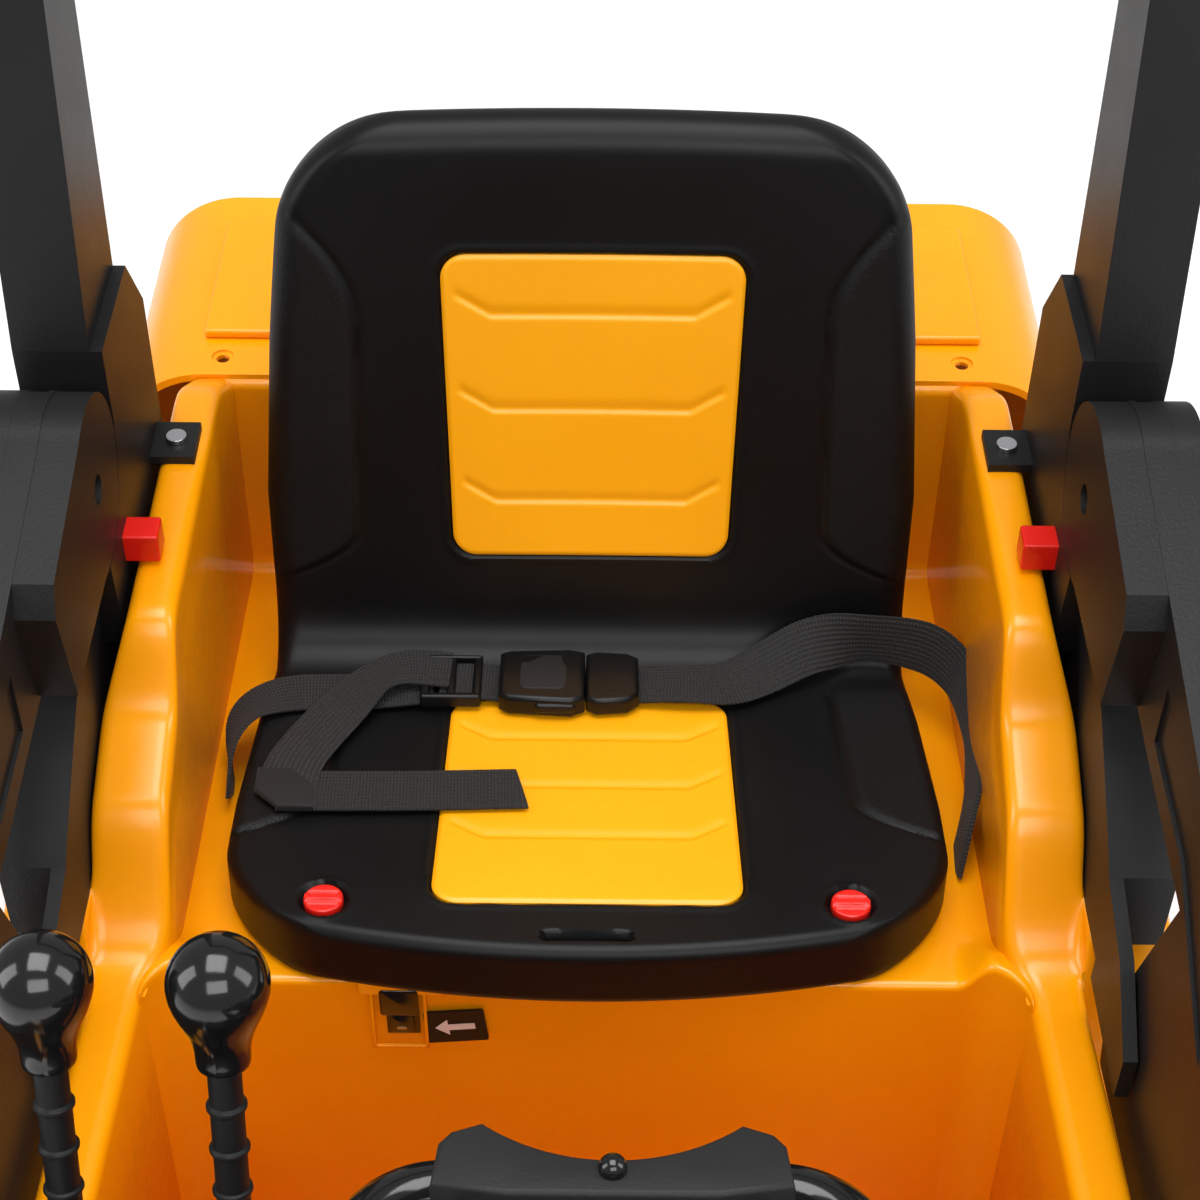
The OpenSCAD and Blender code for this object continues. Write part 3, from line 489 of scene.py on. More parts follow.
panels = {"back": {"q": crease - 120, "halfWidth": 64, "halfLength": 72, "flare": 0.03},
          "cushion": {"q": crease + 102, "halfWidth": 63, "halfLength": 66, "flare": -0.02}}


def panelDistance(panel, x, q):
    # distance outside the panel's outline, whose sides lean by its flare
    halfWidth, halfLength = panel["halfWidth"], panel["halfLength"]
    wide = halfWidth * (1 - panel["flare"] * (q - panel["q"]) / halfLength)
    return roundedBox(x * halfWidth / wide, q - panel["q"], halfWidth, halfLength, 11)


def seatRelief(x, q):
    # seams, bolsters, panel recesses, knob dishes and the slot, as heights above the plain surface
    side, inRange = bolsterShare(x, q)
    edge = np.abs(x) - bolsterEdge(q)
    height = seat["bolsterRise"] * side - seat["seamDepth"] * ridge(edge, 1.5) * inRange
    for panel in panels.values():
        d = panelDistance(panel, x, q)
        height = height - seat["recess"] * lift(-d, -0.4, 1.2) + 0.5 * ridge(d - 1.6, 1.4)
    s = q - crease
    knob = np.hypot(np.abs(x) - seat["knobX"], s - seat["knobS"])
    height = height - 3.2 * lift(10.2 - knob, 0, 1.4) + 0.5 * ridge(knob - 11.2, 1.2)
    height = height - 5 * lift(-roundedBox(x, s - 186, 18.5, 2.6, 2.4), -0.3, 1.0)
    return height


def seatShell():
    # rows start on the top edge, run down the seat and close along the front edge; a row is one loop round it
    half = seat["thickness"] / 2
    arc = np.linspace(0, math.pi / 2, 9)
    topRows = 50 * (1 - np.cos(np.linspace(0, math.pi / 2, 34)))
    middle = np.linspace(50, pathEnd - 44, 236)[1:-1]
    frontRows = pathEnd - 44 * (1 - np.cos(np.linspace(math.pi / 2, 0, 42)))
    rows = np.concatenate([topRows, middle, frontRows, np.full(7, pathEnd)])
    nearTop, nearFront = np.clip(rows, 0, half), np.clip(pathEnd - rows, 0, seat["frontEdge"])
    share = np.sqrt(1 - ((half - nearTop) / half) ** 2)
    frontEdge = seat["frontEdge"]
    share -= (frontEdge - np.sqrt(frontEdge ** 2 - (frontEdge - nearFront) ** 2)) / half
    share[-7:] = share[-8] * np.linspace(0.8, 0, 7)
    share = share[:, None]
    wide = seatHalfWidth(rows)[:, None]
    edge = (seat["edge"] + (seat["frontEdge"] - seat["edge"]) * lift(rows, crease - 30, crease + 30))[:, None]
    flat = np.maximum(wide - edge, 1)
    across = np.linspace(-1, 1, 170)
    # side of a row: a quarter round, an upright wall and another quarter round
    sideOut = np.concatenate([np.sin(arc[1:]), [1, 1, 1], np.sin(arc[::-1])[:-1]])
    sideN = np.concatenate([half - edge * (1 - np.cos(arc[1:])), (half - edge) * np.array([0.5, 0, -0.5]),
                            -half + edge * (1 - np.cos(arc[::-1][:-1]))], 1) * share
    sideX = flat + (wide - flat) * sideOut
    fall = np.concatenate([np.cos(arc[1:]), np.zeros(11)])
    backX, faceX = flat * np.linspace(1, -1, 40), flat * across
    x = np.concatenate([faceX, sideX, backX, -sideX[:, ::-1]], 1)
    n = np.concatenate([half * share + 0 * faceX, sideN, -half * share + 0 * backX, sideN[:, ::-1]], 1)
    q = np.broadcast_to(rows[:, None], x.shape)
    bowed = q - x ** 2 / (2 * seat["bow"]) * lift(q, crease, pathEnd) + x ** 2 / 3600 * (1 - lift(q, 0, 90))
    weight = np.concatenate([np.ones(170), fall, np.zeros(40), fall[::-1]])
    ending = np.clip(share * half / seat["frontEdge"], 0, 1) ** 3
    height = (seatRelief(x, bowed) + seatDish(x, bowed)) * weight * ending
    grid = seatPlace(x, bowed, n - half + height)
    leather = bolsterShare(x, bowed)[0] * (weight > 0)
    shell = addGrid("seat_moulding", grid, seatBlack, "seat", closeColumns=True, smoothAngle=50,
                    attributes={"leather": leather.ravel()})
    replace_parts(shell, "seat_shell")


def seatDish(x, q):
    # the backrest is hollowed a little between its bolsters
    across = np.cos(np.clip(x / 130, -1, 1) * math.pi / 2) ** 2
    return -2.5 * across * lift(crease - q, 20, 90) * lift(q, 10, 60)


def grooveHeight(x, d):
    # a groove with a steep front and a slow back; its ends turn up and fade out
    bent = d + np.clip(np.abs(x) - 43, 0, 14) * 0.62
    fade = 1 - lift(np.abs(x), 55, 59)
    return -1.0 * fade * np.where(bent > 0, ridge(bent, 1.0), ridge(bent, 3.2))


def seatPanel(name, grooves):
    panel = panels[name]
    # a square grid over the panel, a second one under it and a strip round the two
    count = 150
    lengths = np.linspace(-1, 1, count)
    middle = panel["q"]
    x, q = np.meshgrid(lengths * (panel["halfWidth"] - 0.9), middle + lengths * (panel["halfLength"] - 0.9))
    # the corners of the square grid are drawn in onto the round corners
    dx = np.abs(x) - (panel["halfWidth"] - 11.9)
    dq = np.abs(q - middle) - (panel["halfLength"] - 11.9)
    far, most = np.hypot(dx, dq), np.maximum(dx, dq)
    inCorner = (dx > 0) & (dq > 0)
    pull = np.where(inCorner, most / np.maximum(far, 1e-6), 1)
    x = np.sign(x) * (np.abs(x) - np.where(inCorner, dx * (1 - pull), 0))
    q = middle + np.sign(q - middle) * (np.abs(q - middle) - np.where(inCorner, dq * (1 - pull), 0))
    flareX = x * (1 - panel["flare"] * (q - panel["q"]) / panel["halfLength"])
    inside = -panelDistance(panel, flareX, q)
    height = 0.5 - 1.1 * (1 - lift(inside, 0.6, 2.6))
    for groove in grooves:
        height = height + grooveHeight(x, q - groove)
    dish = seatDish(flareX, q)
    topGrid = seatPlace(flareX, q, height + dish)
    lowGrid = seatPlace(flareX, q, -2.2 + dish)
    points = np.concatenate([topGrid.reshape(-1, 3), lowGrid.reshape(-1, 3)])
    faces = gridFaces(count, count)
    under = [[i + count * count for i in reversed(face)] for face in faces]
    index = np.arange(count * count).reshape(count, count)
    rim = np.concatenate([index[0], index[1:, -1], index[-1, -2::-1], index[-2:0:-1, 0]])
    after = np.roll(rim, -1)
    sides = np.stack([rim, rim + count * count, after + count * count, after], -1).tolist()
    return addMesh("seat_panel_" + name, points, faces + under + sides, panelYellow, "seat", smoothAngle=50)


def seatKnob(side):
    # quarter-turn knob: a round head with two grooves beside its raised bar
    centre = seatPlace(np.array(side * seat["knobX"]), np.array(crease + seat["knobS"]), np.array(0.0))
    rows, columns = 36, 96
    r = np.concatenate([np.linspace(0, 7.2, 28), [7.6, 7.9, 8.05, 8.1, 8.1, 8.05, 7.5, 0]])
    drop = np.concatenate([np.zeros(28), [-0.08, -0.3, -0.7, -1.2, -3, -4, -4, -4]])
    angle = np.linspace(0, 2 * math.pi, columns, endpoint=False)
    x, y = r[:, None] * np.cos(angle), r[:, None] * np.sin(angle)
    top = (np.arange(rows) < 30)[:, None]
    grooves = 0.9 * ridge(np.abs(y) - 3.1, 0.7) * lift(7.6 - r[:, None], 0, 1)
    bar = 1.1 * lift(2.0 - np.abs(y), 0, 0.7) - grooves
    z = drop[:, None] + 0.6 + np.where(top, bar * lift(8.2 - r[:, None], 0, 0.6), 0)
    grid = turnedX(np.stack([x, y, z], -1), -seat["rise"]) + centre
    knob = addGrid("seat_lock_knob_" + ("left" if side > 0 else "right"), grid, signalRed,
                   "seat_lock_" + ("left" if side > 0 else "right"), closeColumns=True, smoothAngle=40)
    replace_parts(knob, "seat_knob_" + ("left" if side > 0 else "right"))


stagePrint("seat")
seatShell()
backPanel = seatPanel("back", [crease - 164, crease - 120, crease - 76])
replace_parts(backPanel, "seat_panels")
seatPanel("cushion", [crease + 64, crease + 96, crease + 128])
for side in (1, -1):
    seatKnob(side)


def sideName(side):
    return "left" if side > 0 else "right"


# The tub is a loft along Y for each side, a sheet for the deck, seat box and footwell, and two mudguards.
# Each line holds (y, value) stations of one corner of the side's section.
tub = {"rear": 91, "front": -448, "wall": 3.6, "skirtX": 233, "skirtZ": -190, "floorZ": -214, "boxY": -186,
       "deckX": 176.5, "deckZ": -8.4, "hoodX": 198, "boardEnd": -292, "boardStart": -272, "rimRise": 14,
       "fillet": 20, "wheelY": 120, "wheelZ": -195, "guardLow": 123, "guardHigh": 127, "guardInX": 228,
       "guardX": 263, "guardAngles": (19.1, 161.6)}
tubLines = {"top": [(-448, 40), (-206, 5), (-186, 6), (-174, 14), (-150, 54), (-107, 70), (-90, 104),
                    (60, 104), (91, 85)],
            "inner": [(-448, 176), (-196, 176), (-176, 167), (91, 167)],
            "innerLow": [(-448, -216), (-190, -216), (-182, -60), (91, -60)],
            "outer": [(-448, 198), (-107, 198), (-90, 187), (91, 187)],
            "shoulder": [(-448, -40), (-290, -37), (-194, -36), (-190, 26), (91, 26)]}


def tubLine(y, stations):
    # straight lines between (y, value) stations, smoothed where they meet
    stations = np.array(sorted(stations))
    return smoothRows(np.interp(y, stations[:, 0], stations[:, 1]), 8)


def tubSide(side):
    # a section of six rounded corners, from the well's bottom over the ledge to the skirt's lower edge, which
    # follows the circle of the wheel arch: z = wheelZ + sqrt(guardLow^2 - (y - wheelY)^2)
    y = np.linspace(tub["rear"], tub["front"], 217)
    top, inner, innerLow, outer, shoulder = [tubLine(y, stations) for stations in tubLines.values()]
    skirt = tubLine(y, [(tub["front"], tub["hoodX"]), (tub["boardEnd"], tub["hoodX"]),
                        (tub["boardStart"], tub["skirtX"]), (tub["rear"], tub["skirtX"])])
    arch = tub["wheelZ"] + np.sqrt(np.clip(tub["guardLow"] ** 2 - (y - tub["wheelY"]) ** 2, 0, None))
    board = tubLine(y, [(tub["front"], -40), (tub["boardEnd"], -42), (tub["boardStart"], tub["skirtZ"]),
                        (tub["rear"], tub["skirtZ"])])
    low = np.minimum(np.maximum(board, arch), shoulder - 1)
    corners = [(inner, innerLow), (inner, top), (outer, top), (outer, shoulder), (skirt, shoulder),
               (skirt, low)]
    section = openPath(np.stack([np.stack(corner, -1) for corner in corners], 1), [4, 7, 6, 5, 8, 4], 7)
    along = np.broadcast_to(y[:, None, None], section.shape[:2] + (1,))
    grid = np.concatenate([section[..., :1], along, section[..., 1:]], -1)
    faces = gridFaces(*grid.shape[:2]) + [list(range(grid.shape[1]))]
    points = grid.reshape(-1, 3) * [side, 1, 1]
    shell = addMesh("tub_side_" + sideName(side), points, faces, bodyYellow, "chassis", smoothAngle=38,
                    facing=(0, 0, 1))
    return thicken(shell, tub["wall"])


def tubMiddle():
    # rows follow the side view from the wall behind the driver to the wall behind the hood; near the sides
    # the seat box curves forward on a quarter circle and its top edge rises to the ledges
    box, front, floorZ = tub["boxY"], tub["front"], tub["floorZ"]
    corners = [(91, 84), (89, -31), (box + 2, tub["deckZ"]), (box, floorZ), (front, floorZ), (front, 30)]
    path = openPath(np.array(corners, float), [3, 10, 4, 12, 12, 3], 9)
    step = np.concatenate([[0], np.cumsum(np.linalg.norm(np.diff(path, axis=0), axis=1))])
    even = np.unique(np.concatenate([step, np.arange(0, step[-1], 6.0)]))
    y, z = np.interp(even, step, path[:, 0]), np.interp(even, step, path[:, 1])
    x = tub["deckX"] * np.sin(np.linspace(-math.pi / 2, math.pi / 2, 111))
    across = np.abs(x)[None]
    fillet = tub["fillet"]
    beside = np.clip(across - (tub["deckX"] - fillet - 0.5), 0, fillet)
    corner = fillet - np.sqrt(fillet ** 2 - beside ** 2)
    onWall = ((y < box + 6) & (y > box - 14))[:, None]
    nearEdge = (lift(-y, -box - 30, -box - 4) * lift(z, -60, -12))[:, None]
    raised = tub["rimRise"] * lift(across, 150, 164) * nearEdge
    grid = np.stack(np.broadcast_arrays(x[None], y[:, None] - corner * onWall, z[:, None] + raised), -1)
    middle = addGrid("tub_middle", grid, bodyYellow, "chassis", smoothAngle=38, facing=(0, 0, 1))
    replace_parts(middle, "tub")
    return thicken(middle, tub["wall"])


def mudguard(side):
    # a rounded strip swept round the wheel: y = wheelY + r cos a, z = wheelZ + r sin a
    angle = np.radians(np.linspace(*tub["guardAngles"], 60))
    low, high, inX, outX = tub["guardLow"], tub["guardHigh"], tub["guardInX"], tub["guardX"]
    strip = np.array([(inX, low), (outX, low), (outX, high), (inX, high)], float)
    loop = roundCorners(strip, [0.5, 1.9, 1.9, 0.5], 5)
    x, r = loop[:, 0], loop[:, 1]
    grid = np.stack([np.broadcast_to(side * x, (60, len(x))), tub["wheelY"] + np.cos(angle)[:, None] * r,
                     tub["wheelZ"] + np.sin(angle)[:, None] * r], -1)
    addGrid("mudguard_" + sideName(side), grid, bodyYellow, "chassis", closeColumns=True, caps=True)


def plate(name, outline, low, high, radius, material, body, place, steps=3):
    # an outline in (x, y) raised from low to high, its edges rounded, then put in place
    work = bmesh.new()
    face = work.faces.new([work.verts.new((x, y, low)) for x, y in outline])
    raised = bmesh.ops.extrude_face_region(work, geom=[face])
    for vert in (g for g in raised["geom"] if isinstance(g, bmesh.types.BMVert)):
        vert.co.z = high
    if radius:
        sharp = [e for e in work.edges if len(e.link_faces) == 2 and e.calc_face_angle(0) > math.radians(35)]
        bmesh.ops.bevel(work, geom=sharp, offset=radius, segments=steps, profile=0.5, affect="EDGES",
                        clamp_overlap=True)
    work.verts.index_update()
    points = np.array([v.co for v in work.verts])
    faces = [[v.index for v in f.verts] for f in work.faces]
    work.free()
    return addMesh(name, place(points), faces, material, body)


def boxOutline(x0, y0, x1, y1, radius=0.0, steps=5):
    corners = np.array([(x0, y0), (x1, y0), (x1, y1), (x0, y1)], float)
    return roundCorners(corners, [radius] * 4, steps) if radius else corners


def onSeat(points):
    # (x, distance forward of the crease, height) to the seat's surface
    points = np.asarray(points, float)
    return seatPlace(points[..., 0], crease + points[..., 1], points[..., 2])


# The lap belt. A strap is a list of control points (x, forward of the crease, height above the seat), each
# with the direction that its upper face looks in.
belt = {"width": 25.0, "thickness": 1.8, "step": 2.5, "crown": 0.35, "edgeShare": 0.45}
flat = (0, 0, 1)
straps = {
    "strap_right": [((-157, 75, -25), (-1, 0, 0)), ((-158, 62, -6), (-1, 0, 0.4)),
                    ((-152, 47, 3), (-0.5, 0, 1)), ((-135, 38, 4), flat), ((-100, 36, 3), flat),
                    ((-70, 32, 4), flat)],
    "short": [((-66, 30, 5), flat), ((-52, 31, 6.5), flat), ((-38, 31, 4), flat)],
    "tail_first": [((-62, 26, 8), flat), ((-84, 25, 10), flat), ((-98, 34, 9), (-0.2, -0.2, 1)),
                   ((-108, 50, 6), flat), ((-117, 66, 5), flat), ((-126, 86, 5), flat),
                   ((-128, 104, 5), flat)],
    "tail_end": [((-131, 104, 3.2), flat), ((-100, 104, 3.4), flat), ((-72, 103, 3), flat),
                 ((-28, 101, 3), flat)],
    "strap_left": [((20, 31, 4), flat), ((45, 34, 8), flat), ((62, 33, 6), (0, 0.2, 1)),
                   ((80, 22, 8), (0, 0.5, 1)), ((98, 2, 13), (-0.1, 0.8, 0.8)),
                   ((120, -10, 12), (-0.3, 1, 0.5)), ((140, -6, 13), (-0.5, 0.9, 0.4)),
                   ((155, 8, 14), (-0.8, 0.6, 0.35)),
                   ((166, 30, 12), (-1, 0.1, 0.3)), ((170, 60, 6), (-1, 0, 0.3)),
                   ((166, 90, -4), (-1, 0, 0.2)), ((160, 108, -18), (-1, 0, 0.1)),
                   ((158, 112, -30), (-1, 0, 0))]}
strapNodes = {"strap_right": "belt_right", "strap_left": "belt_left"}


def evenly(along, length, values):
    # values at even distances, with their corners smoothed away
    return smoothRows(np.stack([np.interp(along, length, values[:, k]) for k in range(3)], -1), 14)


def ribbon(name, controls, slant=0.0):
    # a flat band with a slight crown, carried along a smoothed line: across = forward x up, and up is made
    # square to both again, so the band twists without stretching
    places, normals = np.asarray(controls, float).transpose(1, 0, 2)
    world = onSeat(places)
    ahead = onSeat(places + normals * 4) - world
    length = np.concatenate([[0], np.cumsum(np.linalg.norm(np.diff(world, axis=0), axis=1))])
    along = np.linspace(0, length[-1], max(int(length[-1] / belt["step"]), 8))
    centre, up = evenly(along, length, world), evenly(along, length, ahead)
    forward = np.gradient(centre, axis=0)
    forward /= np.linalg.norm(forward, axis=1, keepdims=True)
    across = np.cross(forward, up)
    across /= np.linalg.norm(across, axis=1, keepdims=True)
    up = np.cross(across, forward)
    half, thin = belt["width"] / 2, belt["thickness"] / 2
    count = 13
    top = np.linspace(-1, 1, count)
    u = np.concatenate([top, top[::-1]]) * half
    crown = belt["crown"] * (1 - (u / half) ** 2)
    sides = np.concatenate([np.full(count, thin), np.full(count, -thin)])
    n = sides * np.where(np.abs(u) > half - 0.1, belt["edgeShare"], 1) + crown
    end = np.zeros((len(along), 1))
    end[-1] = slant
    grid = (centre[:, None] + across[:, None] * u[None, :, None] + up[:, None] * n[None, :, None]
            + forward[:, None] * (end * u / half)[..., None])
    uv = np.stack(np.broadcast_arrays(u[None], along[:, None]), -1).reshape(-1, 2)
    return addGrid("belt_" + name, grid, webbing, "seat", closeColumns=True, caps=True, uv=uv, smoothAngle=55)


def lapBelt():
    for name, controls in straps.items():
        strap = ribbon(name, controls, slant=2.5 if name == "tail_end" else 0.0)
        if name in strapNodes:
            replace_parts(strap, strapNodes[name])
    fold = [(-141, 92), (-126, 92), (-115, 104), (-115, 117), (-130, 117), (-141, 106)]
    plate("belt_fold", fold, 3.4, 6.4, 1.2, webbing, "seat", onSeat)


# Adjuster and buckle: places are x across and s forward of the crease, levels are heights above the seat
adjuster = {"bars": [(-75, -71), (-63.5, -59.5), (-52, -48)], "rails": [14, 43.4], "s": (14, 46),
            "railWidth": 3.4, "corner": 1.5}
buckle = {"socket": [(-40, 15), (-36, 12), (-8, 10), (-2, 13), (-2, 49), (-8, 52), (-36, 50), (-40, 47)],
          "tongue": [(-1.4, 14), (3, 11), (17, 12.5), (22, 17), (22, 45), (17, 49.5), (3, 51), (-1.4, 48)],
          "recess": (-31, 18, -10, 44, 4), "slot": (9, 18, 13.5, 44, 1.5), "prongs": [9.2, 46.5],
          "prongX": (-24, -6), "prongWidth": 6.3}


def fitting(name, outline, low, high, radius, material=None, steps=3):
    return plate(name, outline, low, high, radius, material or clipBlack, "seat", onSeat, steps)


def beltFittings():
    # three bars between two side rails, then the two halves of the buckle
    s0, s1 = adjuster["s"]
    for number, (x0, x1) in enumerate(adjuster["bars"]):
        outline = boxOutline(x0, s0, x1, s1, adjuster["corner"])
        bar = fitting(f"belt_adjuster_bar_{number}", outline, 3.5, 8.5, 1.2)
    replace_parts(bar, "belt_adjuster")
    x0, x1 = adjuster["bars"][0][0], adjuster["bars"][-1][1]
    for number, s in enumerate(adjuster["rails"]):
        outline = boxOutline(x0, s, x1, s + adjuster["railWidth"], adjuster["corner"])
        fitting(f"belt_adjuster_rail_{number}", outline, 3, 9.5, 1.3)
    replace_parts(fitting("buckle_socket_body", buckle["socket"], 1.5, 12, 2.4, steps=4), "buckle_socket")
    fitting("buckle_socket_recess", boxOutline(*buckle["recess"]), 11.2, 12.4, 0.5, darkGrained)
    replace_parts(fitting("buckle_tongue_body", buckle["tongue"], 2, 11, 2.2, steps=4), "buckle_tongue")
    x0, x1 = buckle["prongX"]
    for number, s in enumerate(buckle["prongs"]):
        fitting(f"buckle_prong_{number}", boxOutline(x0, s, x1, s + buckle["prongWidth"], 2), 4.5, 9.5, 1.5)
    # the tongue's slot is a thin near-black sheet on its top, which is painted shade because the tongue has
    # no opening there
    fitting("buckle_tongue_slot", boxOutline(*buckle["slot"]), 10.6, 11.1, 0, slotShadePaint)


def turned(name, profile, material, body, place, steps=64, **more):
    # a (radius, height) profile turned about its own Z, then put in place
    return addGrid(name, place(spin(profile, steps)), material, body, closeColumns=True, **more)


# Levers: lengths run along the stem from its pivot
lever = {"y": -400, "z": 12, "lean": 17.3, "length": 161, "xs": {"inner": -108, "outer": -160}, "ball": 15.5,
         "ballHeight": 32, "stem": 5.2, "taper": 0.35, "ring": 6.3, "ringStep": 15.9,
         "firstRing": 12, "rings": 7,
         "neck": [(0, 5), (5, 5), (7.4, 3.6), (8.1, 3.9), (8.35, 5), (8.4, 6.6), (8.5, 9), (8.9, 11.6),
                  (9.7, 14.6), (11.1, 18), (12.9, 21.8), (14.3, 25.4), (15.2, 28.8)],
         "boss": [(0, -7), (7.4, -7), (8.6, -5.8), (8.6, 5.8), (7.4, 7), (0, 7)]}


def leverPieces(name, x):
    # the knob is a neck under a quarter circle; the stem tapers, with a ring every ringStep
    def place(points):
        return turnedX(points, -lever["lean"]) + [x, lever["y"], lever["z"]]
    quarter = np.linspace(0, math.pi / 2, 14)
    ball = [(lever["ball"] * math.cos(t), lever["ballHeight"] + lever["ball"] * math.sin(t)) for t in quarter]
    body = "lever_" + name
    profile = np.array(lever["neck"] + ball) + [0, lever["length"]]
    knob = turned(f"lever_knob_{name}_ball", profile, glossBlack, body, place, 72, smoothAngle=45)
    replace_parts(knob, "lever_knob_" + name)
    top = lever["length"] + 4
    heights = np.linspace(0, top, 320)
    radius = np.full(320, lever["stem"]) + lever["taper"] * (1 - heights / lever["length"])
    for ring in range(lever["rings"]):
        far = np.abs(heights - (lever["length"] - lever["firstRing"] - ring * lever["ringStep"]))
        radius = np.maximum(radius, lever["ring"] - 1.2 * lift(far, 0.5, 1.5))
    profile = np.concatenate([[[0, 0]], np.stack([radius, heights], -1), [[0, top]]])
    stem = turned(f"lever_stem_{name}_rod", profile, softBlack, body, place, 40)
    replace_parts(stem, "lever_stem_" + name)
    boss = spin(lever["boss"], 40)[..., [2, 0, 1]]
    addGrid(f"lever_boss_{name}", place(boss), softBlack, body, closeColumns=True)


# Steering wheel: its own frame has +Z up the column and +Y towards the driver
wheel = {"x": 8, "y": -448, "z": 160, "lean": 9, "halfWidth": 74, "halfHeight": 67, "bend": 25, "rim": 9,
         "hub": [(0, -14), (23, -14), (26, -11), (26, 4), (24, 6), (0, 6)], "spokeLean": 30, "spokeStart": 18}
pad = {"notchReach": 38, "notchRadius": 60.0, "notchY": 120.5, "low": 10, "high": 22,
       "base": (-46, 14, 46, 49, 6),
       "front": [(-52, 50.5), (-30, 47), (30, 47), (52, 50.5), (50.5, 66), (47, 70.5)],
       "rear": [(-47, 70.5), (-50.5, 66)], "buttonY": 56, "buttonRadius": 4.2,
       "ring": [(20, 6.2), (33, 6.2), (34, 8), (34, 13), (32, 15), (20, 15), (20, 6.2)]}


def onColumn(points):
    return turnedX(points, -wheel["lean"]) + [wheel["x"], wheel["y"], wheel["z"]]


def rimLine():
    # the middle line of the rim: a rectangle with quarter-circle corners, and the way each point looks out
    w, h, bend = wheel["halfWidth"], wheel["halfHeight"], wheel["bend"]
    arc = np.linspace(0, math.pi / 2, 14)[:-1]
    line, away = [], []
    for quarter, (sx, sy) in enumerate([(1, 1), (-1, 1), (-1, -1), (1, -1)]):
        a = arc + quarter * math.pi / 2
        line.append(np.stack([sx * (w - bend) + bend * np.cos(a), sy * (h - bend) + bend * np.sin(a)], -1))
        end = (sx * (w - bend), sy * h) if quarter % 2 == 0 else (sx * w, sy * (h - bend))
        line.append(np.array([end]))
        away.extend([a, [(quarter + 1) * math.pi / 2]])
    return np.concatenate(line), np.concatenate(away)


def steeringWheel():
    # a round section of radius rim carried along the rim's middle line
    line, away = rimLine()
    around = np.linspace(0, 2 * math.pi, 28, endpoint=False)
    outward = np.stack([np.cos(away), np.sin(away), 0 * away], -1)
    middle = np.concatenate([line, 0 * line[:, :1]], -1)
    grid = (middle[:, None] + outward[:, None] * (wheel["rim"] * np.cos(around))[None, :, None]
            + np.array([0, 0, 1.0]) * (wheel["rim"] * np.sin(around))[None, :, None])
    rim = addGrid("steering_rim", onColumn(grid), glossBlack, "steering", closeRows=True, closeColumns=True)
    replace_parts(rim, "steering_wheel")
    turned("steering_hub", wheel["hub"], glossBlack, "steering", onColumn)
    lean, start = math.radians(wheel["spokeLean"]), wheel["spokeStart"]
    reach = wheel["halfWidth"] / math.cos(lean) - 2
    for number, a in enumerate([math.pi / 2, -lean, math.pi + lean]):
        far = wheel["halfHeight"] - 3 if number == 0 else reach
        waist = far * 0.6
        arm = np.array([(start, -11), (waist, -8.5), (far, -10), (far, 10), (waist, 8.5), (start, 11)])
        outline = np.stack([arm[:, 0] * math.cos(a) - arm[:, 1] * math.sin(a),
                            arm[:, 0] * math.sin(a) + arm[:, 1] * math.cos(a)], -1)
        plate(f"steering_spoke_{number}", outline, -5, 5, 2.5, glossBlack, "steering", onColumn)


def steeringPad():
    # the crown's rear edge is an arc: y = notchY - sqrt(notchRadius^2 - x^2)
    bow = np.linspace(-pad["notchReach"], pad["notchReach"], 25)
    notch = np.stack([bow, pad["notchY"] - np.sqrt(pad["notchRadius"] ** 2 - bow ** 2)], -1)[::-1]
    outline = np.concatenate([pad["front"], notch, pad["rear"]])
    crown = plate("steering_pad_crown", outline, pad["low"], pad["high"], 1.8, darkGrained, "steering",
                  onColumn)
    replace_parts(crown, "steering_pad")
    plate("steering_pad_base", boxOutline(*pad["base"]), 6.2, 16, 2, glossBlack, "steering", onColumn)
    turned("steering_pad_ring", pad["ring"], darkGrained, "steering", onColumn, 72)
    quarter = np.linspace(0, math.pi / 2, 9)
    edge = [(17.2 + 1.8 * math.cos(t), 17 + 1.8 * math.sin(t)) for t in quarter]
    button = [(0, 12), (19, 12.2)] + edge + [(14, 19.2), (9, 19.8), (0, 20)]
    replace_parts(turned("horn_button_dome", button, glossBlack, "horn", onColumn), "horn_button")
    r = pad["buttonRadius"]
    small = [(0, 12), (r, 12), (r, 23)] + [(r * math.cos(t), 23 + 4 * math.sin(t)) for t in quarter[1:]]

    def onPad(points):
        return onColumn(points + [0, pad["buttonY"], 0])
    turned("steering_pad_button", small, glossBlack, "steering", onPad, 32)


# Front of the seat box: outlines are in (x, z) and levels stand forward of its wall
port = {"tab": (-92, -12.8, -58, 4.5, 1.5), "flapTop": (-84, -26, -68, -9.5, 2),
        "flapLow": (-80.5, -38, -70.5, -25.5, 2), "flapSlot": (-77.5, -35, -73.5, -33.4, 0.6),
        "rims": [(-88, -49, -86.6, -13), (-66.4, -49, -65, -13), (-88, -49, -65, -47.6)],
        "label": (-66, -45, -41, -25, 1), "labelMiddle": (-53.5, -35), "labelTilt": 6,
        "arrow": [(-62, -35), (-56.5, -30), (-56.5, -33.2), (-45.5, -33.2), (-45.5, -36.8), (-56.5, -36.8),
                  (-56.5, -40)]}


def onBox(points):
    # (x, z, distance forward of the seat box) to the place in the tub
    points = np.asarray(points, float)
    return np.stack([points[..., 0], tub["boxY"] - points[..., 2], points[..., 1]], -1)


def onLabel(points):
    # the same, turned about the middle of the label
    a = math.radians(port["labelTilt"])
    middleX, middleZ = port["labelMiddle"]
    x, z = points[..., 0] - middleX, points[..., 1] - middleZ
    return onBox(np.stack([x * math.cos(a) - z * math.sin(a) + middleX,
                           x * math.sin(a) + z * math.cos(a) + middleZ, points[..., 2]], -1))


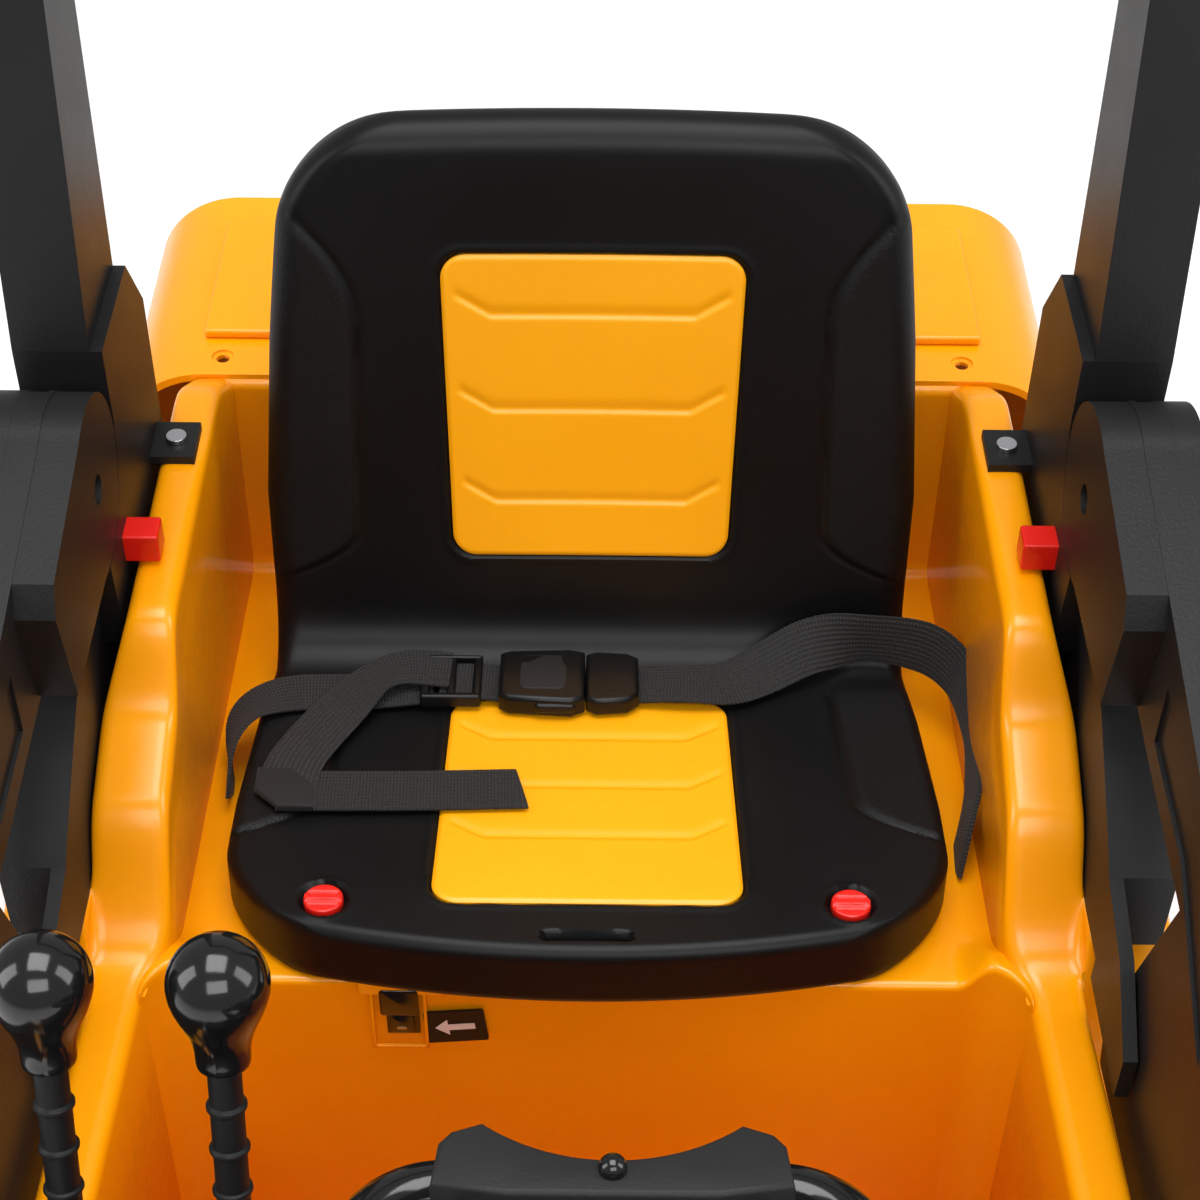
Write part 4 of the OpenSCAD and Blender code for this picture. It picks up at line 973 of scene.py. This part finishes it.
def boxFront():
    # a shiny tab, the raised outline of the pocket, the charge socket's flap and a label with an arrow
    plate("box_tab", boxOutline(*port["tab"]), -1, 1.6, 0.6, panelYellow, "chassis", onBox)
    for number, edges in enumerate(port["rims"]):
        plate(f"box_pocket_rim_{number}", boxOutline(*edges), -0.5, 1.1, 0.3, bodyYellow, "chassis", onBox)
    cover = "charge_cover"
    flap = plate("charge_flap_top", boxOutline(*port["flapTop"]), 0.2, 2.2, 0.8, glossBlack, cover, onBox)
    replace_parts(flap, "charge_flap")
    plate("charge_flap_low", boxOutline(*port["flapLow"]), 0.2, 1.8, 0.6, glossBlack, cover, onBox)
    plate("charge_flap_slot", boxOutline(*port["flapSlot"]), 1.5, 2.0, 0, zincSteel, cover, onBox)
    plate("box_label", boxOutline(*port["label"]), -0.5, 0.45, 0, softBlack, "chassis", onLabel)
    plate("box_label_arrow", port["arrow"], 0.3, 0.6, 0, labelWhite, "chassis", onLabel)


stagePrint("tub")
for side in (1, -1):
    tubSide(side)
    mudguard(side)
tubMiddle()
boxFront()
stagePrint("belt")
lapBelt()
beltFittings()
stagePrint("controls")
for name, x in lever["xs"].items():
    leverPieces(name, x)
steeringWheel()
steeringPad()


# Every other part keeps its CAD shape with rounded edges: a material and the radius in mm
stagePrint("rounded parts")
plain = {"chassis_frame": (framePaint, 1.0), "battery": (darkGrained, 2.0), "control_box": (cageBlack, 1.5),
         "gear_motors": (darkGrained, 1.5), "rear_axle": (zincSteel, 0.6), "tie_rod": (zincSteel, 0.8),
         "steering_shaft": (zincSteel, 0.5), "bucket_pins": (zincSteel, 0.5), "pivot_pins": (zincSteel, 0.5),
         "arm_tube": (framePaint, 0.8), "grille": (cageBlack, 0.8), "charge_socket": (glossBlack, 0.5),
         "pedal": (darkGrained, 1.5), "gear_switch": (signalRed, 1.0), "dash": (darkGrained, 2.0),
         "cross_beam": (cageBlack, 4.0), "headlamps": (lensGlass, 0.8), "bucket": (bodyYellow, 1.0),
         "rear_centre_cover": (bodyYellow, 1.6), "hood": (bodyYellow, 1.5), "rear_cover": (bodyYellow, 1.5),
         "ledge_screws": (screwChrome, 0.3)}
paired = {"knuckle": (zincSteel, 0.8), "arm_button": (signalRed, 1.0), "rear_tyre": (tyreBlack, 1.5),
          "rear_rim": (bodyYellow, 0.8), "front_tyre": (tyreBlack, 1.5), "front_rim": (bodyYellow, 0.8),
          "cage_inner": (cageBlack, 2.5), "arm_inner": (cageBlack, 2.5), "cage_outer": (cageBlack, 2.5),
          "arm_outer": (cageBlack, 2.5)}
for part, finish in paired.items():
    for side in (1, -1):
        plain[f"{part}_{sideName(side)}"] = finish
for node, (material, radius) in plain.items():
    softPart(node, material, radius)

stagePrint("stage")
floorMesh = bpy.data.meshes.new("floor")
reach = 6.0
floorCorners = [(-reach, -reach, 0), (reach, -reach, 0), (reach, reach, 0), (-reach, reach, 0)]
floorMesh.from_pydata(floorCorners, [], [(0, 1, 2, 3)])
floor = bpy.data.objects.new("floor", floorMesh)
bpy.context.scene.collection.objects.link(floor)
floorMaterial = newMaterial("floorPaint", "", (0.86, 0.86, 0.86), 0.6)
floorMesh.materials.append(floorMaterial[0])

world = bpy.data.worlds.new("studio")
bpy.context.scene.world = world
world.use_nodes = True
world.node_tree.nodes["Background"].inputs["Color"].default_value = (1, 1, 1, 1)
world.node_tree.nodes["Background"].inputs["Strength"].default_value = 0.42
bpy.context.scene.view_settings.view_transform = "Standard"

# a place and a target in metres, the size of the panel and its power in watts
lights = {"front": {"place": (0.3, -2.2, 2.6), "target": (0, 0.1, 0.4), "size": (2.4, 1.4), "power": 50},
          "top": {"place": (0, 0.3, 3.0), "target": (0, 0.2, 0.3), "size": (1.8, 1.8), "power": 64},
          "left": {"place": (-2.6, -0.3, 1.8), "target": (0, 0.2, 0.4), "size": (1.2, 2.2), "power": 36},
          "right": {"place": (2.6, -0.1, 1.9), "target": (0, 0.2, 0.4), "size": (1.2, 2.2), "power": 34}}
for name, values in lights.items():
    lamp = bpy.data.lights.new(name, "AREA")
    lamp.shape = "RECTANGLE"
    lamp.size, lamp.size_y = values["size"]
    lamp.energy = values["power"]
    holder = bpy.data.objects.new("light_" + name, lamp)
    holder.location = values["place"]
    holder.rotation_euler = (Vector(values["target"]) - holder.location).to_track_quat("-Z", "Y").to_euler()
    bpy.context.scene.collection.objects.link(holder)

view = {"place": (0, -0.450, 1.049), "direction": (0, 0.731, -0.682), "lens": 69, "roll": 0.55,
        "shift": 0.0083}
cameraData = bpy.data.cameras.new("view")
cameraData.lens = view["lens"]
cameraData.sensor_width = 36
cameraData.shift_x = view["shift"]
cameraData.clip_start = 0.02
camera = bpy.data.objects.new("camera", cameraData)
camera.location = view["place"]
turn = Vector(view["direction"]).to_track_quat("-Z", "Y").to_matrix()
camera.rotation_euler = (turn @ Matrix.Rotation(math.radians(view["roll"]), 3, "Z")).to_euler()
bpy.context.scene.collection.objects.link(camera)
bpy.context.scene.camera = camera
